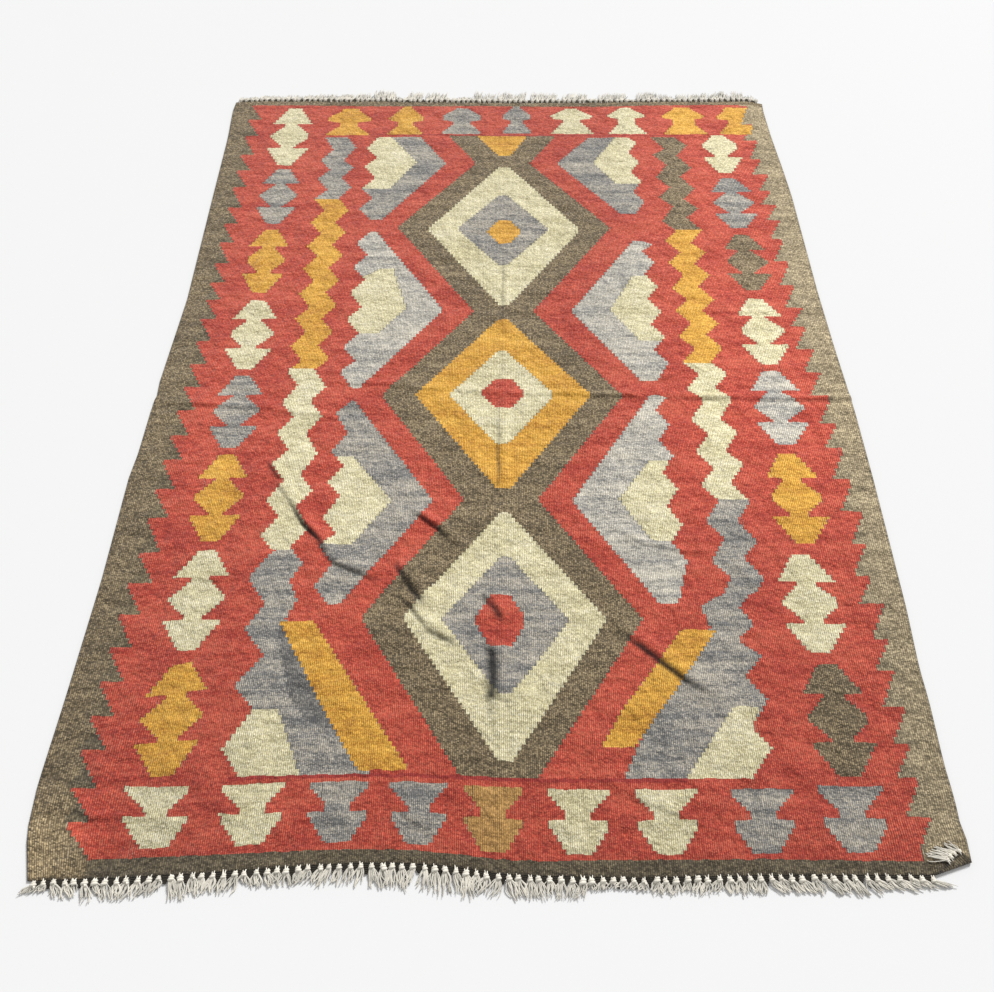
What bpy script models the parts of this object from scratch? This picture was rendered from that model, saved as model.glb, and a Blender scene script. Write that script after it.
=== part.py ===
"""A flat-woven wool kilim lying on a floor: one cloth with its storage folds and a turned-over corner, and
the knotted warp ends that fringe it at the near end, the far end and the corner."""

import math
from collections import namedtuple

import bmesh
import bpy
from mathutils import Vector

# Metres. X runs across the rug, Y along it from the near end to the far end, and Z is up from the floor.
WIDTH = 1.200
LENGTH = 1.732
THICKNESS = 0.0025
NEAR_END = -0.876
GAP = 0.0003

# The cloth bends along a net of straight lines this far apart, and along cuts that reach this far beside
# each fold. A cut that passes this near a corner of the net goes through it.
NET_PITCH = 0.060
CUT_REACH = 0.036
SNAP = 0.002

# A woven cloth isn't a true rectangle. Each edge is drawn out or in by these amounts, at places along it.
Offset = namedtuple("Offset", "at amount")
NEAR_BOW = [
    Offset(-0.60, -0.003),
    Offset(-0.48, 0.001),
    Offset(-0.36, 0.008),
    Offset(-0.24, 0.017),
    Offset(-0.18, 0.020),
    Offset(-0.12, 0.020),
    Offset(-0.06, 0.016),
    Offset(0.00, 0.007),
    Offset(0.06, 0.001),
    Offset(0.18, -0.001),
    Offset(0.24, 0.006),
    Offset(0.36, 0.008),
    Offset(0.60, 0.008),
]
FAR_BOW = [
    Offset(-0.60, -0.004),
    Offset(-0.54, 0.000),
    Offset(-0.36, 0.001),
    Offset(-0.12, -0.003),
    Offset(0.06, -0.004),
    Offset(0.24, 0.000),
    Offset(0.42, 0.003),
    Offset(0.57, 0.006),
    Offset(0.60, -0.014),
]
LEFT_BULGE = [
    Offset(0.00, 0.002),
    Offset(0.06, 0.015),
    Offset(0.36, 0.017),
    Offset(0.54, 0.014),
    Offset(0.66, 0.009),
    Offset(0.78, 0.004),
    Offset(0.90, -0.001),
    Offset(1.08, -0.010),
    Offset(1.32, -0.008),
    Offset(1.50, -0.006),
    Offset(1.732, -0.001),
]
RIGHT_BULGE = [
    Offset(0.00, 0.010),
    Offset(0.12, 0.011),
    Offset(0.30, 0.014),
    Offset(0.48, 0.018),
    Offset(0.78, 0.020),
    Offset(1.02, 0.015),
    Offset(1.20, 0.012),
    Offset(1.44, 0.012),
    Offset(1.56, 0.007),
    Offset(1.68, 0.000),
    Offset(1.732, 0.000),
]
BOW_FADE = 0.15
SIDE_ZONE = 0.12
ROUNDED_CORNER_LINE = 0.57

# Soft ridges left by folding the rug for storage, as lines of points measured from the near end.
Ridge = namedtuple("Ridge", "half_width points")
Crest = namedtuple("Crest", "x y height")
RIDGES = [
    Ridge(0.020, [
        Crest(-0.330, 0.868, 0.000),
        Crest(-0.200, 0.856, 0.0040),
        Crest(0.000, 0.838, 0.0030),
        Crest(0.215, 0.832, 0.0040),
        Crest(0.430, 0.826, 0.0045),
        Crest(0.640, 0.826, 0.0035),
    ]),
    Ridge(0.020, [
        Crest(-0.630, 0.815, 0.0035),
        Crest(-0.460, 0.806, 0.0045),
        Crest(-0.300, 0.784, 0.0035),
        Crest(-0.240, 0.774, 0.000),
    ]),
    Ridge(0.018, [
        Crest(0.016, 1.260, 0.000),
        Crest(0.016, 1.110, 0.0030),
        Crest(0.008, 0.900, 0.0015),
        Crest(0.006, 0.660, 0.0035),
        Crest(0.000, 0.480, 0.0015),
        Crest(-0.006, 0.300, 0.0035),
        Crest(-0.006, 0.170, 0.000),
    ]),
    Ridge(0.017, [
        Crest(-0.400, 0.715, 0.000),
        Crest(-0.345, 0.614, 0.0045),
        Crest(-0.300, 0.540, 0.0045),
        Crest(-0.215, 0.468, 0.0040),
        Crest(-0.130, 0.410, 0.0045),
        Crest(-0.070, 0.344, 0.0045),
        Crest(-0.020, 0.290, 0.000),
    ]),
    Ridge(0.016, [
        Crest(-0.160, 0.605, 0.000),
        Crest(-0.100, 0.556, 0.0045),
        Crest(-0.050, 0.508, 0.0035),
        Crest(-0.005, 0.470, 0.000),
    ]),
    Ridge(0.017, [
        Crest(0.160, 0.385, 0.000),
        Crest(0.215, 0.342, 0.0045),
        Crest(0.290, 0.275, 0.0040),
        Crest(0.350, 0.240, 0.000),
    ]),
]

# The near right corner is turned over onto the face about this line, measured from the near end.
TURN_START = (0.563, 0.009)
TURN_END = (0.610, 0.024)
TURN_RADIUS = 0.0015
TURN_STEPS = 5

# One lock is a knot of warp ends and the frayed yarn beyond it. Its sections run outwards from the cloth.
# A row's scale sizes its locks, and its strip spans the heights from its floor to its top.
Row = namedtuple("Row", "side outward floor top sections scale")
Section = namedtuple("Section", "share half_width height")
ROOT_HALF_WIDTH = 0.0016
STRIP_DEPTH = 0.0025
KNOT_REACH = 0.0065
KNOT_HALF_WIDTH = 0.0040
KNOT_HEIGHT = 0.0060
TAIL_SECTIONS = [
    Section(0.12, 0.0022, 0.0032),
    Section(0.55, 0.0046, 0.0028),
    Section(1.00, 0.0028, 0.0014),
]
SHORT_TAIL_SECTIONS = [
    Section(0.45, 0.0038, 0.0034),
    Section(1.00, 0.0026, 0.0016),
]

# Tufts along an end: from this place on, a lock reaches this far out of the cloth and leans this far in X.
# Neighbours lean together by at most this much.
Tuft = namedtuple("Tuft", "start reach lean")
Lock = namedtuple("Lock", "at reach lean")
MOST_CLOSING = 0.006
NEAR_LOCKS = 86
NEAR_FROM = -0.592
NEAR_TO = 0.552
NEAR_TUFTS = [
    Tuft(-0.600, 0.019, -0.008),
    Tuft(-0.570, 0.026, 0.005),
    Tuft(-0.545, 0.021, -0.003),
    Tuft(-0.525, 0.029, 0.006),
    Tuft(-0.490, 0.029, -0.004),
    Tuft(-0.425, 0.032, 0.004),
    Tuft(-0.380, 0.029, -0.005),
    Tuft(-0.325, 0.024, 0.003),
    Tuft(-0.280, 0.028, -0.004),
    Tuft(-0.220, 0.032, -0.006),
    Tuft(-0.170, 0.037, 0.004),
    Tuft(-0.110, 0.036, -0.003),
    Tuft(-0.070, 0.040, 0.005),
    Tuft(-0.040, 0.030, -0.006),
    Tuft(0.010, 0.033, 0.005),
    Tuft(0.060, 0.029, 0.000),
    Tuft(0.120, 0.018, -0.004),
    Tuft(0.195, 0.025, -0.003),
    Tuft(0.290, 0.026, 0.004),
    Tuft(0.345, 0.024, 0.012),
    Tuft(0.390, 0.028, 0.014),
    Tuft(0.478, 0.021, 0.016),
    Tuft(0.520, 0.017, 0.016),
]
FAR_LOCKS = 98
FAR_FROM = -0.590
FAR_TO = 0.587
FAR_TUFTS = [
    Tuft(-0.600, 0.021, 0.004),
    Tuft(-0.560, 0.027, 0.004),
    Tuft(-0.480, 0.030, 0.004),
    Tuft(-0.410, 0.036, 0.005),
    Tuft(-0.335, 0.042, 0.003),
    Tuft(-0.297, 0.021, 0.000),
    Tuft(-0.280, 0.050, 0.002),
    Tuft(-0.228, 0.025, 0.000),
    Tuft(-0.205, 0.046, 0.004),
    Tuft(-0.125, 0.026, 0.003),
    Tuft(-0.050, 0.054, 0.002),
    Tuft(-0.034, 0.044, 0.004),
    Tuft(-0.010, 0.024, 0.002),
    Tuft(0.002, 0.050, 0.006),
    Tuft(0.058, 0.022, 0.002),
    Tuft(0.072, 0.047, 0.006),
    Tuft(0.128, 0.019, 0.002),
    Tuft(0.150, 0.042, 0.004),
    Tuft(0.205, 0.023, 0.002),
    Tuft(0.226, 0.041, 0.005),
    Tuft(0.295, 0.014, 0.000),
    Tuft(0.320, 0.049, 0.006),
    Tuft(0.368, 0.017, 0.002),
    Tuft(0.380, 0.037, 0.003),
    Tuft(0.394, 0.021, 0.002),
    Tuft(0.410, 0.039, 0.005),
    Tuft(0.500, 0.045, 0.002),
    Tuft(0.552, 0.030, 0.000),
    Tuft(0.576, 0.021, -0.002),
]
CORNER_LOCKS = 4
CORNER_FROM = 0.578
CORNER_TO = 0.598
CORNER_TUFTS = [Tuft(0.570, 0.026, -0.013)]
CORNER_SCALE = 0.7

WOOL_RED = (0.52, 0.115, 0.075, 1.0)
WARP_CREAM = (0.78, 0.75, 0.68, 1.0)
WOOL_ROUGHNESS = 0.95


def clear_scene():
    for old in list(bpy.data.objects):
        bpy.data.objects.remove(old, do_unlink=True)


def wool(name, colour):
    material = bpy.data.materials.new(name)
    material.use_nodes = True
    shader = material.node_tree.nodes["Principled BSDF"]
    shader.inputs["Base Color"].default_value = colour
    shader.inputs["Roughness"].default_value = WOOL_ROUGHNESS
    shader.inputs["Metallic"].default_value = 0.0
    return material


def add_object(name, mesh_builder, material):
    mesh = bpy.data.meshes.new(name)
    mesh_builder.normal_update()
    mesh_builder.to_mesh(mesh)
    mesh_builder.free()
    mesh.materials.append(material)
    piece = bpy.data.objects.new(name, mesh)
    bpy.context.scene.collection.objects.link(piece)
    return piece


def read_offset(table, at):
    """The amount at one place along an edge, on a straight line between the table's rows."""
    for low, high in zip(table, table[1:]):
        if at <= high.at:
            share = max(0.0, (at - low.at) / (high.at - low.at))
            return low.amount + share * (high.amount - low.amount)
    return table[-1].amount


def lay_out(u, v):
    """Where a point of the true woven rectangle lies on the floor: u across it, v from its near end."""
    left = read_offset(LEFT_BULGE, v)
    right = read_offset(RIGHT_BULGE, v)
    inner = 0.5 * WIDTH - SIDE_ZONE
    x = u + right * max(0.0, (u - inner) / SIDE_ZONE) - left * max(0.0, (-u - inner) / SIDE_ZONE)
    near = read_offset(NEAR_BOW, u) * math.exp(-v / BOW_FADE)
    far = read_offset(FAR_BOW, u) * math.exp(-(LENGTH - v) / BOW_FADE)
    return Vector((x, NEAR_END + v + near + far))


def crest_near(points, place):
    """The distance from a place to a line of crest points, and the height of the line there."""
    best = (math.inf, 0.0)
    for low, high in zip(points, points[1:]):
        start = Vector((low.x, NEAR_END + low.y))
        run = Vector((high.x - low.x, high.y - low.y))
        share = min(1.0, max(0.0, (place - start).dot(run) / run.length_squared))
        distance = (place - start - run * share).length
        best = min(best, (distance, low.height + share * (high.height - low.height)))
    return best


def lift(place):
    """How far the cloth stands off the floor at a place, on the highest ridge there."""
    highest = 0.0
    for ridge in RIDGES:
        distance, height = crest_near(ridge.points, place)
        share = min(1.0, distance / ridge.half_width)
        highest = max(highest, height * (1.0 - share * share) ** 2)
    return highest


def turn_line():
    start = Vector((TURN_START[0], NEAR_END + TURN_START[1]))
    end = Vector((TURN_END[0], NEAR_END + TURN_END[1]))
    along = (end - start).normalized()
    outward = Vector((along.y, -along.x))
    return start, along, outward, (end - start).length


def bend(point):
    """Takes a point of the flat slab to its place on the folded cloth."""
    place = point.xy
    start, along, outward, length = turn_line()
    past = (place - start).dot(outward)
    if past <= 0.0:
        return Vector((point.x, point.y, point.z + lift(place)))
    offset = point.z - 0.5 * THICKNESS
    foot = place - outward * past
    angle = min(math.pi, past / TURN_RADIUS)
    reach = (TURN_RADIUS - offset) * math.sin(angle) - max(0.0, past - math.pi * TURN_RADIUS)
    height = 0.5 * THICKNESS + TURN_RADIUS - (TURN_RADIUS - offset) * math.cos(angle)
    over = foot + outward * reach
    return Vector((over.x, over.y, height))


def cut_line(cloth, start, along, low, high, beside):
    """Cuts the flat cloth along a straight line, across the faces that lie beside that stretch of it."""
    across = Vector((along.y, -along.x))
    faces = []
    for face in cloth.faces:
        middle = face.calc_center_median().xy - start
        if low <= middle.dot(along) <= high and abs(middle.dot(across)) <= beside:
            faces.append(face)
    edges = {edge for face in faces for edge in face.edges}
    verts = {vert for face in faces for vert in face.verts}
    bmesh.ops.bisect_plane(
        cloth,
        geom=faces + list(edges) + list(verts),
        dist=SNAP,
        plane_co=(start.x, start.y, 0.0),
        plane_no=(across.x, across.y, 0.0),
    )


def net_columns():
    """Where the net's lengthwise lines are: evenly across the cloth, and one more by the rounded corner."""
    count = round(WIDTH / NET_PITCH)
    return [-0.5 * WIDTH + i * NET_PITCH for i in range(1, count)] + [ROUNDED_CORNER_LINE]


def cut_net(cloth):
    """Cuts the flat cloth into cells, square to its sides."""
    rows = round(LENGTH / NET_PITCH)
    for column in net_columns():
        cut_line(cloth, Vector((column, 0.0)), Vector((0.0, 1.0)), -LENGTH, LENGTH, WIDTH)
    for j in range(1, rows):
        place = Vector((0.0, j * LENGTH / rows))
        cut_line(cloth, place, Vector((1.0, 0.0)), -WIDTH, WIDTH, LENGTH)


def cut_ridges(cloth):
    """Cuts along each ridge's crest and along both of its feet."""
    for ridge in RIDGES:
        for low, high in zip(ridge.points, ridge.points[1:]):
            start = Vector((low.x, NEAR_END + low.y))
            run = Vector((high.x - low.x, high.y - low.y))
            along = run.normalized()
            across = Vector((along.y, -along.x))
            for side in (-1.0, 0.0, 1.0):
                line = start + across * ridge.half_width * side
                cut_line(cloth, line, along, 0.0, run.length, CUT_REACH)


def cut_turn(cloth):
    """Cuts the stretch of cloth that goes round the turned-over corner's fold."""
    start, along, outward, length = turn_line()
    for step in range(TURN_STEPS + 1):
        line = start + outward * math.pi * TURN_RADIUS * step / TURN_STEPS
        cut_line(cloth, line, along, -CUT_REACH, length + CUT_REACH, CUT_REACH)


def build_cloth(material):
    cloth = bmesh.new()
    corners = [(-0.5, 0.0), (0.5, 0.0), (0.5, 1.0), (-0.5, 1.0)]
    cloth.faces.new([cloth.verts.new((u * WIDTH, v * LENGTH, 0.0)) for u, v in corners])
    cut_net(cloth)
    for vert in cloth.verts:
        vert.co.xy = lay_out(vert.co.x, vert.co.y)
    cut_ridges(cloth)
    cut_turn(cloth)
    bmesh.ops.triangulate(cloth, faces=cloth.faces[:])
    grown = bmesh.ops.extrude_face_region(cloth, geom=cloth.faces[:])
    for item in grown["geom"]:
        if isinstance(item, bmesh.types.BMVert):
            item.co.z = THICKNESS
    for vert in cloth.verts:
        vert.co = bend(vert.co)
    bmesh.ops.recalc_face_normals(cloth, faces=cloth.faces[:])
    return add_object("kilim_cloth", cloth, material)


def place_locks(tufts, low, high, count):
    """Evenly spaced locks with the reach and lean of their tufts."""
    locks = []
    for i in range(count):
        at = low + (high - low) * i / (count - 1)
        tuft = [row for row in tufts if row.start <= at][-1]
        lean = tuft.lean
        if locks:
            lean = max(lean, locks[-1].lean - MOST_CLOSING)
        locks.append(Lock(at, tuft.reach, lean))
    return locks


def strip_stops(locks):
    """Where the strip has a section: at both sides of each lock's root, and where the cloth's edge may turn.
    Each stop says whether a root starts there."""
    starts = [(lock.at - ROOT_HALF_WIDTH, True) for lock in locks]
    ends = [(lock.at + ROOT_HALF_WIDTH, False) for lock in locks]
    turns = []
    for column in net_columns():
        nearest = min(abs(column - lock.at) for lock in locks)
        if locks[0].at < column < locks[-1].at and nearest > 2.0 * ROOT_HALF_WIDTH:
            turns.append((column, False))
    return sorted(starts + ends + turns)


def add_strip(fringe, edge, row):
    """The narrow band of twined warps along the cloth's edge. Gives the faces of it that look outwards."""
    rings = []
    for point in edge:
        inner = point + row.outward * GAP
        outer = point + row.outward * (GAP + STRIP_DEPTH)
        corners = [(outer, row.top), (outer, row.floor), (inner, row.floor), (inner, row.top)]
        rings.append([fringe.verts.new((place.x, place.y, z)) for place, z in corners])
    fronts = []
    for ring, following in zip(rings, rings[1:]):
        sides = []
        for i in range(4):
            j = (i + 1) % 4
            sides.append(fringe.faces.new((ring[i], following[i], following[j], ring[j])))
        fronts.append(sides[0])
    fringe.faces.new(rings[0])
    fringe.faces.new(rings[-1][::-1])
    return fronts


def grow(fringe, face, centre, half_width, height, row):
    """Extrudes one face outwards to the next section of a lock."""
    ahead = bmesh.ops.extrude_discrete_faces(fringe, faces=[face])["faces"][0]
    middle = ahead.calc_center_median()
    for vert in ahead.verts:
        sign = 1.0 if (vert.co - middle).xy.dot(row.side) > 0.0 else -1.0
        place = centre + row.side * sign * half_width * row.scale
        z = row.floor + height * row.scale if vert.co.z > middle.z else row.floor
        vert.co = (place.x, place.y, z)
    return ahead


def add_lock(fringe, face, root, lock, row):
    """One knot and its tail, lying level on its row's floor."""
    knot = root + row.outward * KNOT_REACH
    ahead = grow(fringe, face, knot, KNOT_HALF_WIDTH, KNOT_HEIGHT, row)
    tail = row.outward * (lock.reach - KNOT_REACH) + row.side * lock.lean
    for section in row.sections:
        centre = knot + tail * section.share
        ahead = grow(fringe, ahead, centre, section.half_width, section.height, row)


def build_fringe(name, material, locks, row, edge_place):
    """A row of locks on its strip. edge_place gives the floor place of a place along the woven edge."""
    stops = strip_stops(locks)
    fringe = bmesh.new()
    fronts = add_strip(fringe, [edge_place(at) for at, is_root in stops], row)
    roots = [front for front, (at, is_root) in zip(fronts, stops) if is_root]
    for lock, face in zip(locks, roots):
        add_lock(fringe, face, edge_place(lock.at), lock, row)
    bmesh.ops.recalc_face_normals(fringe, faces=fringe.faces[:])
    return add_object(name, fringe, material)


def near_place(u):
    return lay_out(u, 0.0)


def far_place(u):
    return lay_out(u, LENGTH)


def turned_place(u):
    """A place on the part of the near edge that is turned over."""
    return bend(near_place(u).to_3d()).xy


def build_fringes(material):
    across = Vector((1.0, 0.0))
    away = Vector((0.0, 1.0))
    near_row = Row(across, -away, 0.0, THICKNESS, TAIL_SECTIONS, 1.0)
    near_locks = place_locks(NEAR_TUFTS, NEAR_FROM, NEAR_TO, NEAR_LOCKS)
    build_fringe("near_fringe", material, near_locks, near_row, near_place)
    far_row = Row(across, away, 0.0, THICKNESS, SHORT_TAIL_SECTIONS, 1.0)
    far_locks = place_locks(FAR_TUFTS, FAR_FROM, FAR_TO, FAR_LOCKS)
    build_fringe("far_fringe", material, far_locks, far_row, far_place)
    side = (turned_place(CORNER_TO) - turned_place(CORNER_FROM)).normalized()
    outward = Vector((-side.y, side.x))
    top = THICKNESS + 2.0 * TURN_RADIUS
    corner_row = Row(side, outward, THICKNESS + GAP, top, SHORT_TAIL_SECTIONS, CORNER_SCALE)
    corner_locks = place_locks(CORNER_TUFTS, CORNER_FROM, CORNER_TO, CORNER_LOCKS)
    build_fringe("corner_fringe", material, corner_locks, corner_row, turned_place)


def main():
    clear_scene()
    build_cloth(wool("kilim_wool", WOOL_RED))
    build_fringes(wool("warp_yarn", WARP_CREAM))


main()
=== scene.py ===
"""A flat-woven wool kilim laid on a pale floor: the cloth with its charted pattern, its three fringes and the
stage. Run as a script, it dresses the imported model."""

import bisect
import math
import random
from collections import namedtuple

import bmesh
import bpy
from mathutils import Euler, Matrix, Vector, noise


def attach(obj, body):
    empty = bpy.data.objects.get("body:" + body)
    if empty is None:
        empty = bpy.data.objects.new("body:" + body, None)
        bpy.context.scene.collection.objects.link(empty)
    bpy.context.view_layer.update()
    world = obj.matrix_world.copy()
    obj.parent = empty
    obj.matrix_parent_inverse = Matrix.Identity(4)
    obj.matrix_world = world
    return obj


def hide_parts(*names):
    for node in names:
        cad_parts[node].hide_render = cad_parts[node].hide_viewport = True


bl_info = {
    "name": "Kilim rug",
    "version": (1, 0, 0),
    "blender": (4, 5, 0),
    "location": "View3D > Sidebar > Kilim",
    "description": "Weaves a kilim's cloth and pattern, ties its fringes and lights it",
    "category": "Object",
}

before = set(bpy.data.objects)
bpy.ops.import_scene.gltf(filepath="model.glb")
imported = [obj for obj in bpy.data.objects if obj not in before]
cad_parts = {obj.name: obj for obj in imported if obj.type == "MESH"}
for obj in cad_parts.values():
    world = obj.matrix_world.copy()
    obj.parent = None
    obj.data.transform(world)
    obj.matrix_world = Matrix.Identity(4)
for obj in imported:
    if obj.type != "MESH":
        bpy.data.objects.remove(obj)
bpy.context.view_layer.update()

# ----------------------------------------------------------------------------------------------------------
# Sizes, in metres. X runs across the rug, Y along it from the near end to the far end, Z up from the floor.

WIDTH = 1.200
LENGTH = 1.732
THICKNESS = 0.0025
NEAR_END = -0.876
GAP = 0.0003

# The chart is woven in columns of two warps, and its colours change on whole rows of weft.
COLUMNS = 214
STEP = WIDTH / COLUMNS
RIB = STEP / 2
WEFT = 0.001
ROWS = round(LENGTH / WEFT)
SHORTEST_RUN = 3

# How far apart the cloth's own rows of points are, in wefts: where it lies flat, and on its folds, which are
# where it stands higher than the least fold. The mesh has twice the columns in the fine zones, each from one
# place across the rug to another, where folds run up it.
FLAT_GAP = 24
FOLD_GAP = 3
LEAST_FOLD = 0.00004
FINE_ZONES = [(-0.385, -0.245), (-0.165, -0.050), (-0.030, 0.030)]

# A woven cloth isn't a true rectangle. Each edge is drawn out or in: (the place along it, the amount there).
NEAR_BOW = [
    (-0.600, -0.003), (-0.480, 0.001), (-0.360, 0.008), (-0.240, 0.017), (-0.180, 0.020), (-0.120, 0.020),
    (-0.060, 0.016), (0.000, 0.007), (0.060, 0.004), (0.180, 0.002), (0.360, 0.006), (0.600, 0.006),
]
FAR_BOW = [
    (-0.600, 0.000), (-0.540, 0.004), (-0.360, 0.005), (0.060, 0.001), (0.420, 0.007), (0.570, 0.010),
    (0.600, 0.000),
]
LEFT_BULGE = [
    (0.000, -0.0015), (0.060, 0.016), (0.125, 0.019), (0.250, 0.014), (0.450, 0.0085), (0.650, 0.0095),
    (0.700, 0.005), (0.800, 0.003), (0.830, -0.0005), (0.860, 0.0015), (1.080, -0.0085), (1.400, -0.005),
    (1.600, -0.0035), (1.700, 0.0015), (1.732, -0.0005),
]
RIGHT_BULGE = [
    (0.000, 0.011), (0.045, 0.014), (0.080, 0.010), (0.100, 0.0125), (0.150, 0.011), (0.250, 0.014),
    (0.300, 0.013), (0.400, 0.018), (0.650, 0.022), (0.800, 0.0225), (0.950, 0.0175), (1.100, 0.0145),
    (1.400, 0.015), (1.500, 0.011), (1.600, 0.0055), (1.700, 0.003), (1.732, 0.0045),
]
BOW_FADE = 0.15
SIDE_ZONE = 0.12

# Soft ridges left by folding the rug for storage, as lines of points: (across from the middle, up from the
# near end, height). Each ridge is steeper on its near side, where its crease lies; its crease value is the
# strength of the painted shade on that side.
Ridge = namedtuple("Ridge", "half_width crease points")
STEEP_SHARE = 0.44
FOLD_RISE = 1.4
FOLD_WANDER = 0.005
# The painted shade on a ridge's steep side: where it is darkest, as a share of that side's width, how far it
# spreads, the crest height where it starts, and how much higher the crest is where the shade is full.
CREASE_SHADE_AT = 0.75
CREASE_SHADE_SPREAD = 0.60
CREASE_SHADE_FROM = 0.0008
CREASE_SHADE_FULL = 0.003
RIDGES = [
    Ridge(0.015, 0.6, [
        (-0.330, 0.868, 0.000), (-0.200, 0.856, 0.0024), (0.000, 0.838, 0.0016), (0.215, 0.832, 0.0025),
        (0.430, 0.826, 0.0029), (0.640, 0.826, 0.0025),
    ]),
    Ridge(0.015, 0.35, [
        (-0.630, 0.815, 0.0020), (-0.460, 0.806, 0.0022), (-0.300, 0.784, 0.0017), (-0.240, 0.774, 0.000),
    ]),
    Ridge(0.018, 1.0, [
        (0.014, 1.260, 0.000), (0.016, 1.110, 0.0026), (0.010, 0.960, 0.0008), (0.008, 0.780, 0.0018),
        (0.006, 0.660, 0.0034), (0.002, 0.560, 0.0010), (0.000, 0.430, 0.000),
    ]),
    Ridge(0.026, 1.1, [
        (-0.024, 0.432, 0.000), (-0.012, 0.417, 0.0040), (0.008, 0.391, 0.0040), (0.020, 0.375, 0.000),
    ]),
    Ridge(0.056, 1.5, [
        (0.008, 0.370, 0.000), (0.009, 0.345, 0.0012), (0.010, 0.322, 0.0050), (0.009, 0.262, 0.0062),
        (0.008, 0.245, 0.0014), (0.006, 0.160, 0.000),
    ]),
    Ridge(0.013, 1.3, [
        (-0.386, 0.688, 0.000), (-0.374, 0.671, 0.0036), (-0.358, 0.648, 0.0036), (-0.346, 0.631, 0.000),
    ]),
    Ridge(0.020, 1.5, [
        (-0.366, 0.646, 0.000), (-0.351, 0.624, 0.0044), (-0.336, 0.603, 0.0050), (-0.309, 0.560, 0.0050),
        (-0.280, 0.528, 0.0028), (-0.262, 0.494, 0.0030), (-0.247, 0.481, 0.0044), (-0.210, 0.467, 0.0040),
        (-0.182, 0.452, 0.0014), (-0.160, 0.440, 0.000),
    ]),
    Ridge(0.030, 1.2, [
        (-0.160, 0.489, 0.000), (-0.140, 0.460, 0.0050), (-0.125, 0.438, 0.0054), (-0.112, 0.416, 0.0048),
        (-0.100, 0.396, 0.000),
    ]),
    Ridge(0.018, 1.2, [
        (-0.168, 0.438, 0.000), (-0.133, 0.407, 0.0038), (-0.101, 0.368, 0.0040), (-0.078, 0.352, 0.0048),
        (-0.056, 0.338, 0.000),
    ]),
    Ridge(0.016, 1.2, [
        (-0.146, 0.590, 0.000), (-0.116, 0.568, 0.0042), (-0.090, 0.549, 0.0046), (-0.072, 0.528, 0.0030),
        (-0.055, 0.505, 0.000),
    ]),
    Ridge(0.024, 1.4, [
        (0.160, 0.385, 0.000), (0.215, 0.342, 0.0045), (0.278, 0.286, 0.0042), (0.306, 0.265, 0.0012),
        (0.350, 0.240, 0.000),
    ]),
    Ridge(0.012, 1.0, [
        (-0.570, 0.096, 0.000), (-0.535, 0.082, 0.0022), (-0.470, 0.075, 0.0018), (-0.430, 0.082, 0.000),
    ]),
    Ridge(0.011, 1.0, [
        (-0.475, 0.462, 0.000), (-0.440, 0.447, 0.0018), (-0.380, 0.446, 0.000),
    ]),
    Ridge(0.012, 1.0, [
        (-0.150, 0.110, 0.000), (-0.120, 0.080, 0.0020), (-0.070, 0.062, 0.000),
    ]),
    Ridge(0.012, 1.0, [
        (0.120, 0.150, 0.000), (0.200, 0.100, 0.0022), (0.300, 0.060, 0.0015), (0.350, 0.040, 0.000),
    ]),
    Ridge(0.012, 1.0, [
        (0.170, 0.560, 0.000), (0.230, 0.520, 0.0022), (0.300, 0.500, 0.0018), (0.360, 0.505, 0.000),
    ]),
]

# The near right corner is turned over onto the face about this line, measured from the near end.
Turn = namedtuple("Turn", "start along outward length")
TURN_START = (0.563, 0.009)
TURN_END = (0.610, 0.024)
TURN_RADIUS = 0.0015
TURN_STEPS = 5
TURN_CUT_REACH = 0.036
TURN_SNAP = 0.0004

# The cloth's slight swells away from its sides, and the soft middle of its rim.
SWELL = 0.0016
SWELL_EDGE = 0.05
RIM_SWELL = 0.0007
SMOOTH_ANGLE = 42.0

# ----------------------------------------------------------------------------------------------------------
# The chart. Places are (across from the middle, up from the near end) on the true woven rectangle.

Area = namedtuple("Area", "yarn outline low high", defaults=[0.0, LENGTH])

FIELD_FOOT = 0.131
FIELD_HEAD = 1.604
LINE_DEPTH = 0.005

# The inner edges of the brown bands at the two ends, which the weaver didn't keep straight.
NEAR_BAND = [
    (0.600, 0.0175), (0.410, 0.0200), (0.280, 0.0215), (0.160, 0.0225), (0.055, 0.0188), (-0.060, 0.0185),
    (-0.150, 0.0195), (-0.250, 0.0215), (-0.400, 0.0240), (-0.520, 0.0235), (-0.600, 0.0230),
]
FAR_BAND = [
    (-0.600, 1.7170), (-0.400, 1.7155), (-0.270, 1.7140), (-0.140, 1.7165), (-0.020, 1.7190), (0.100, 1.7165),
    (0.230, 1.7160), (0.350, 1.7180), (0.480, 1.7195), (0.600, 1.7195),
]

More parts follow.
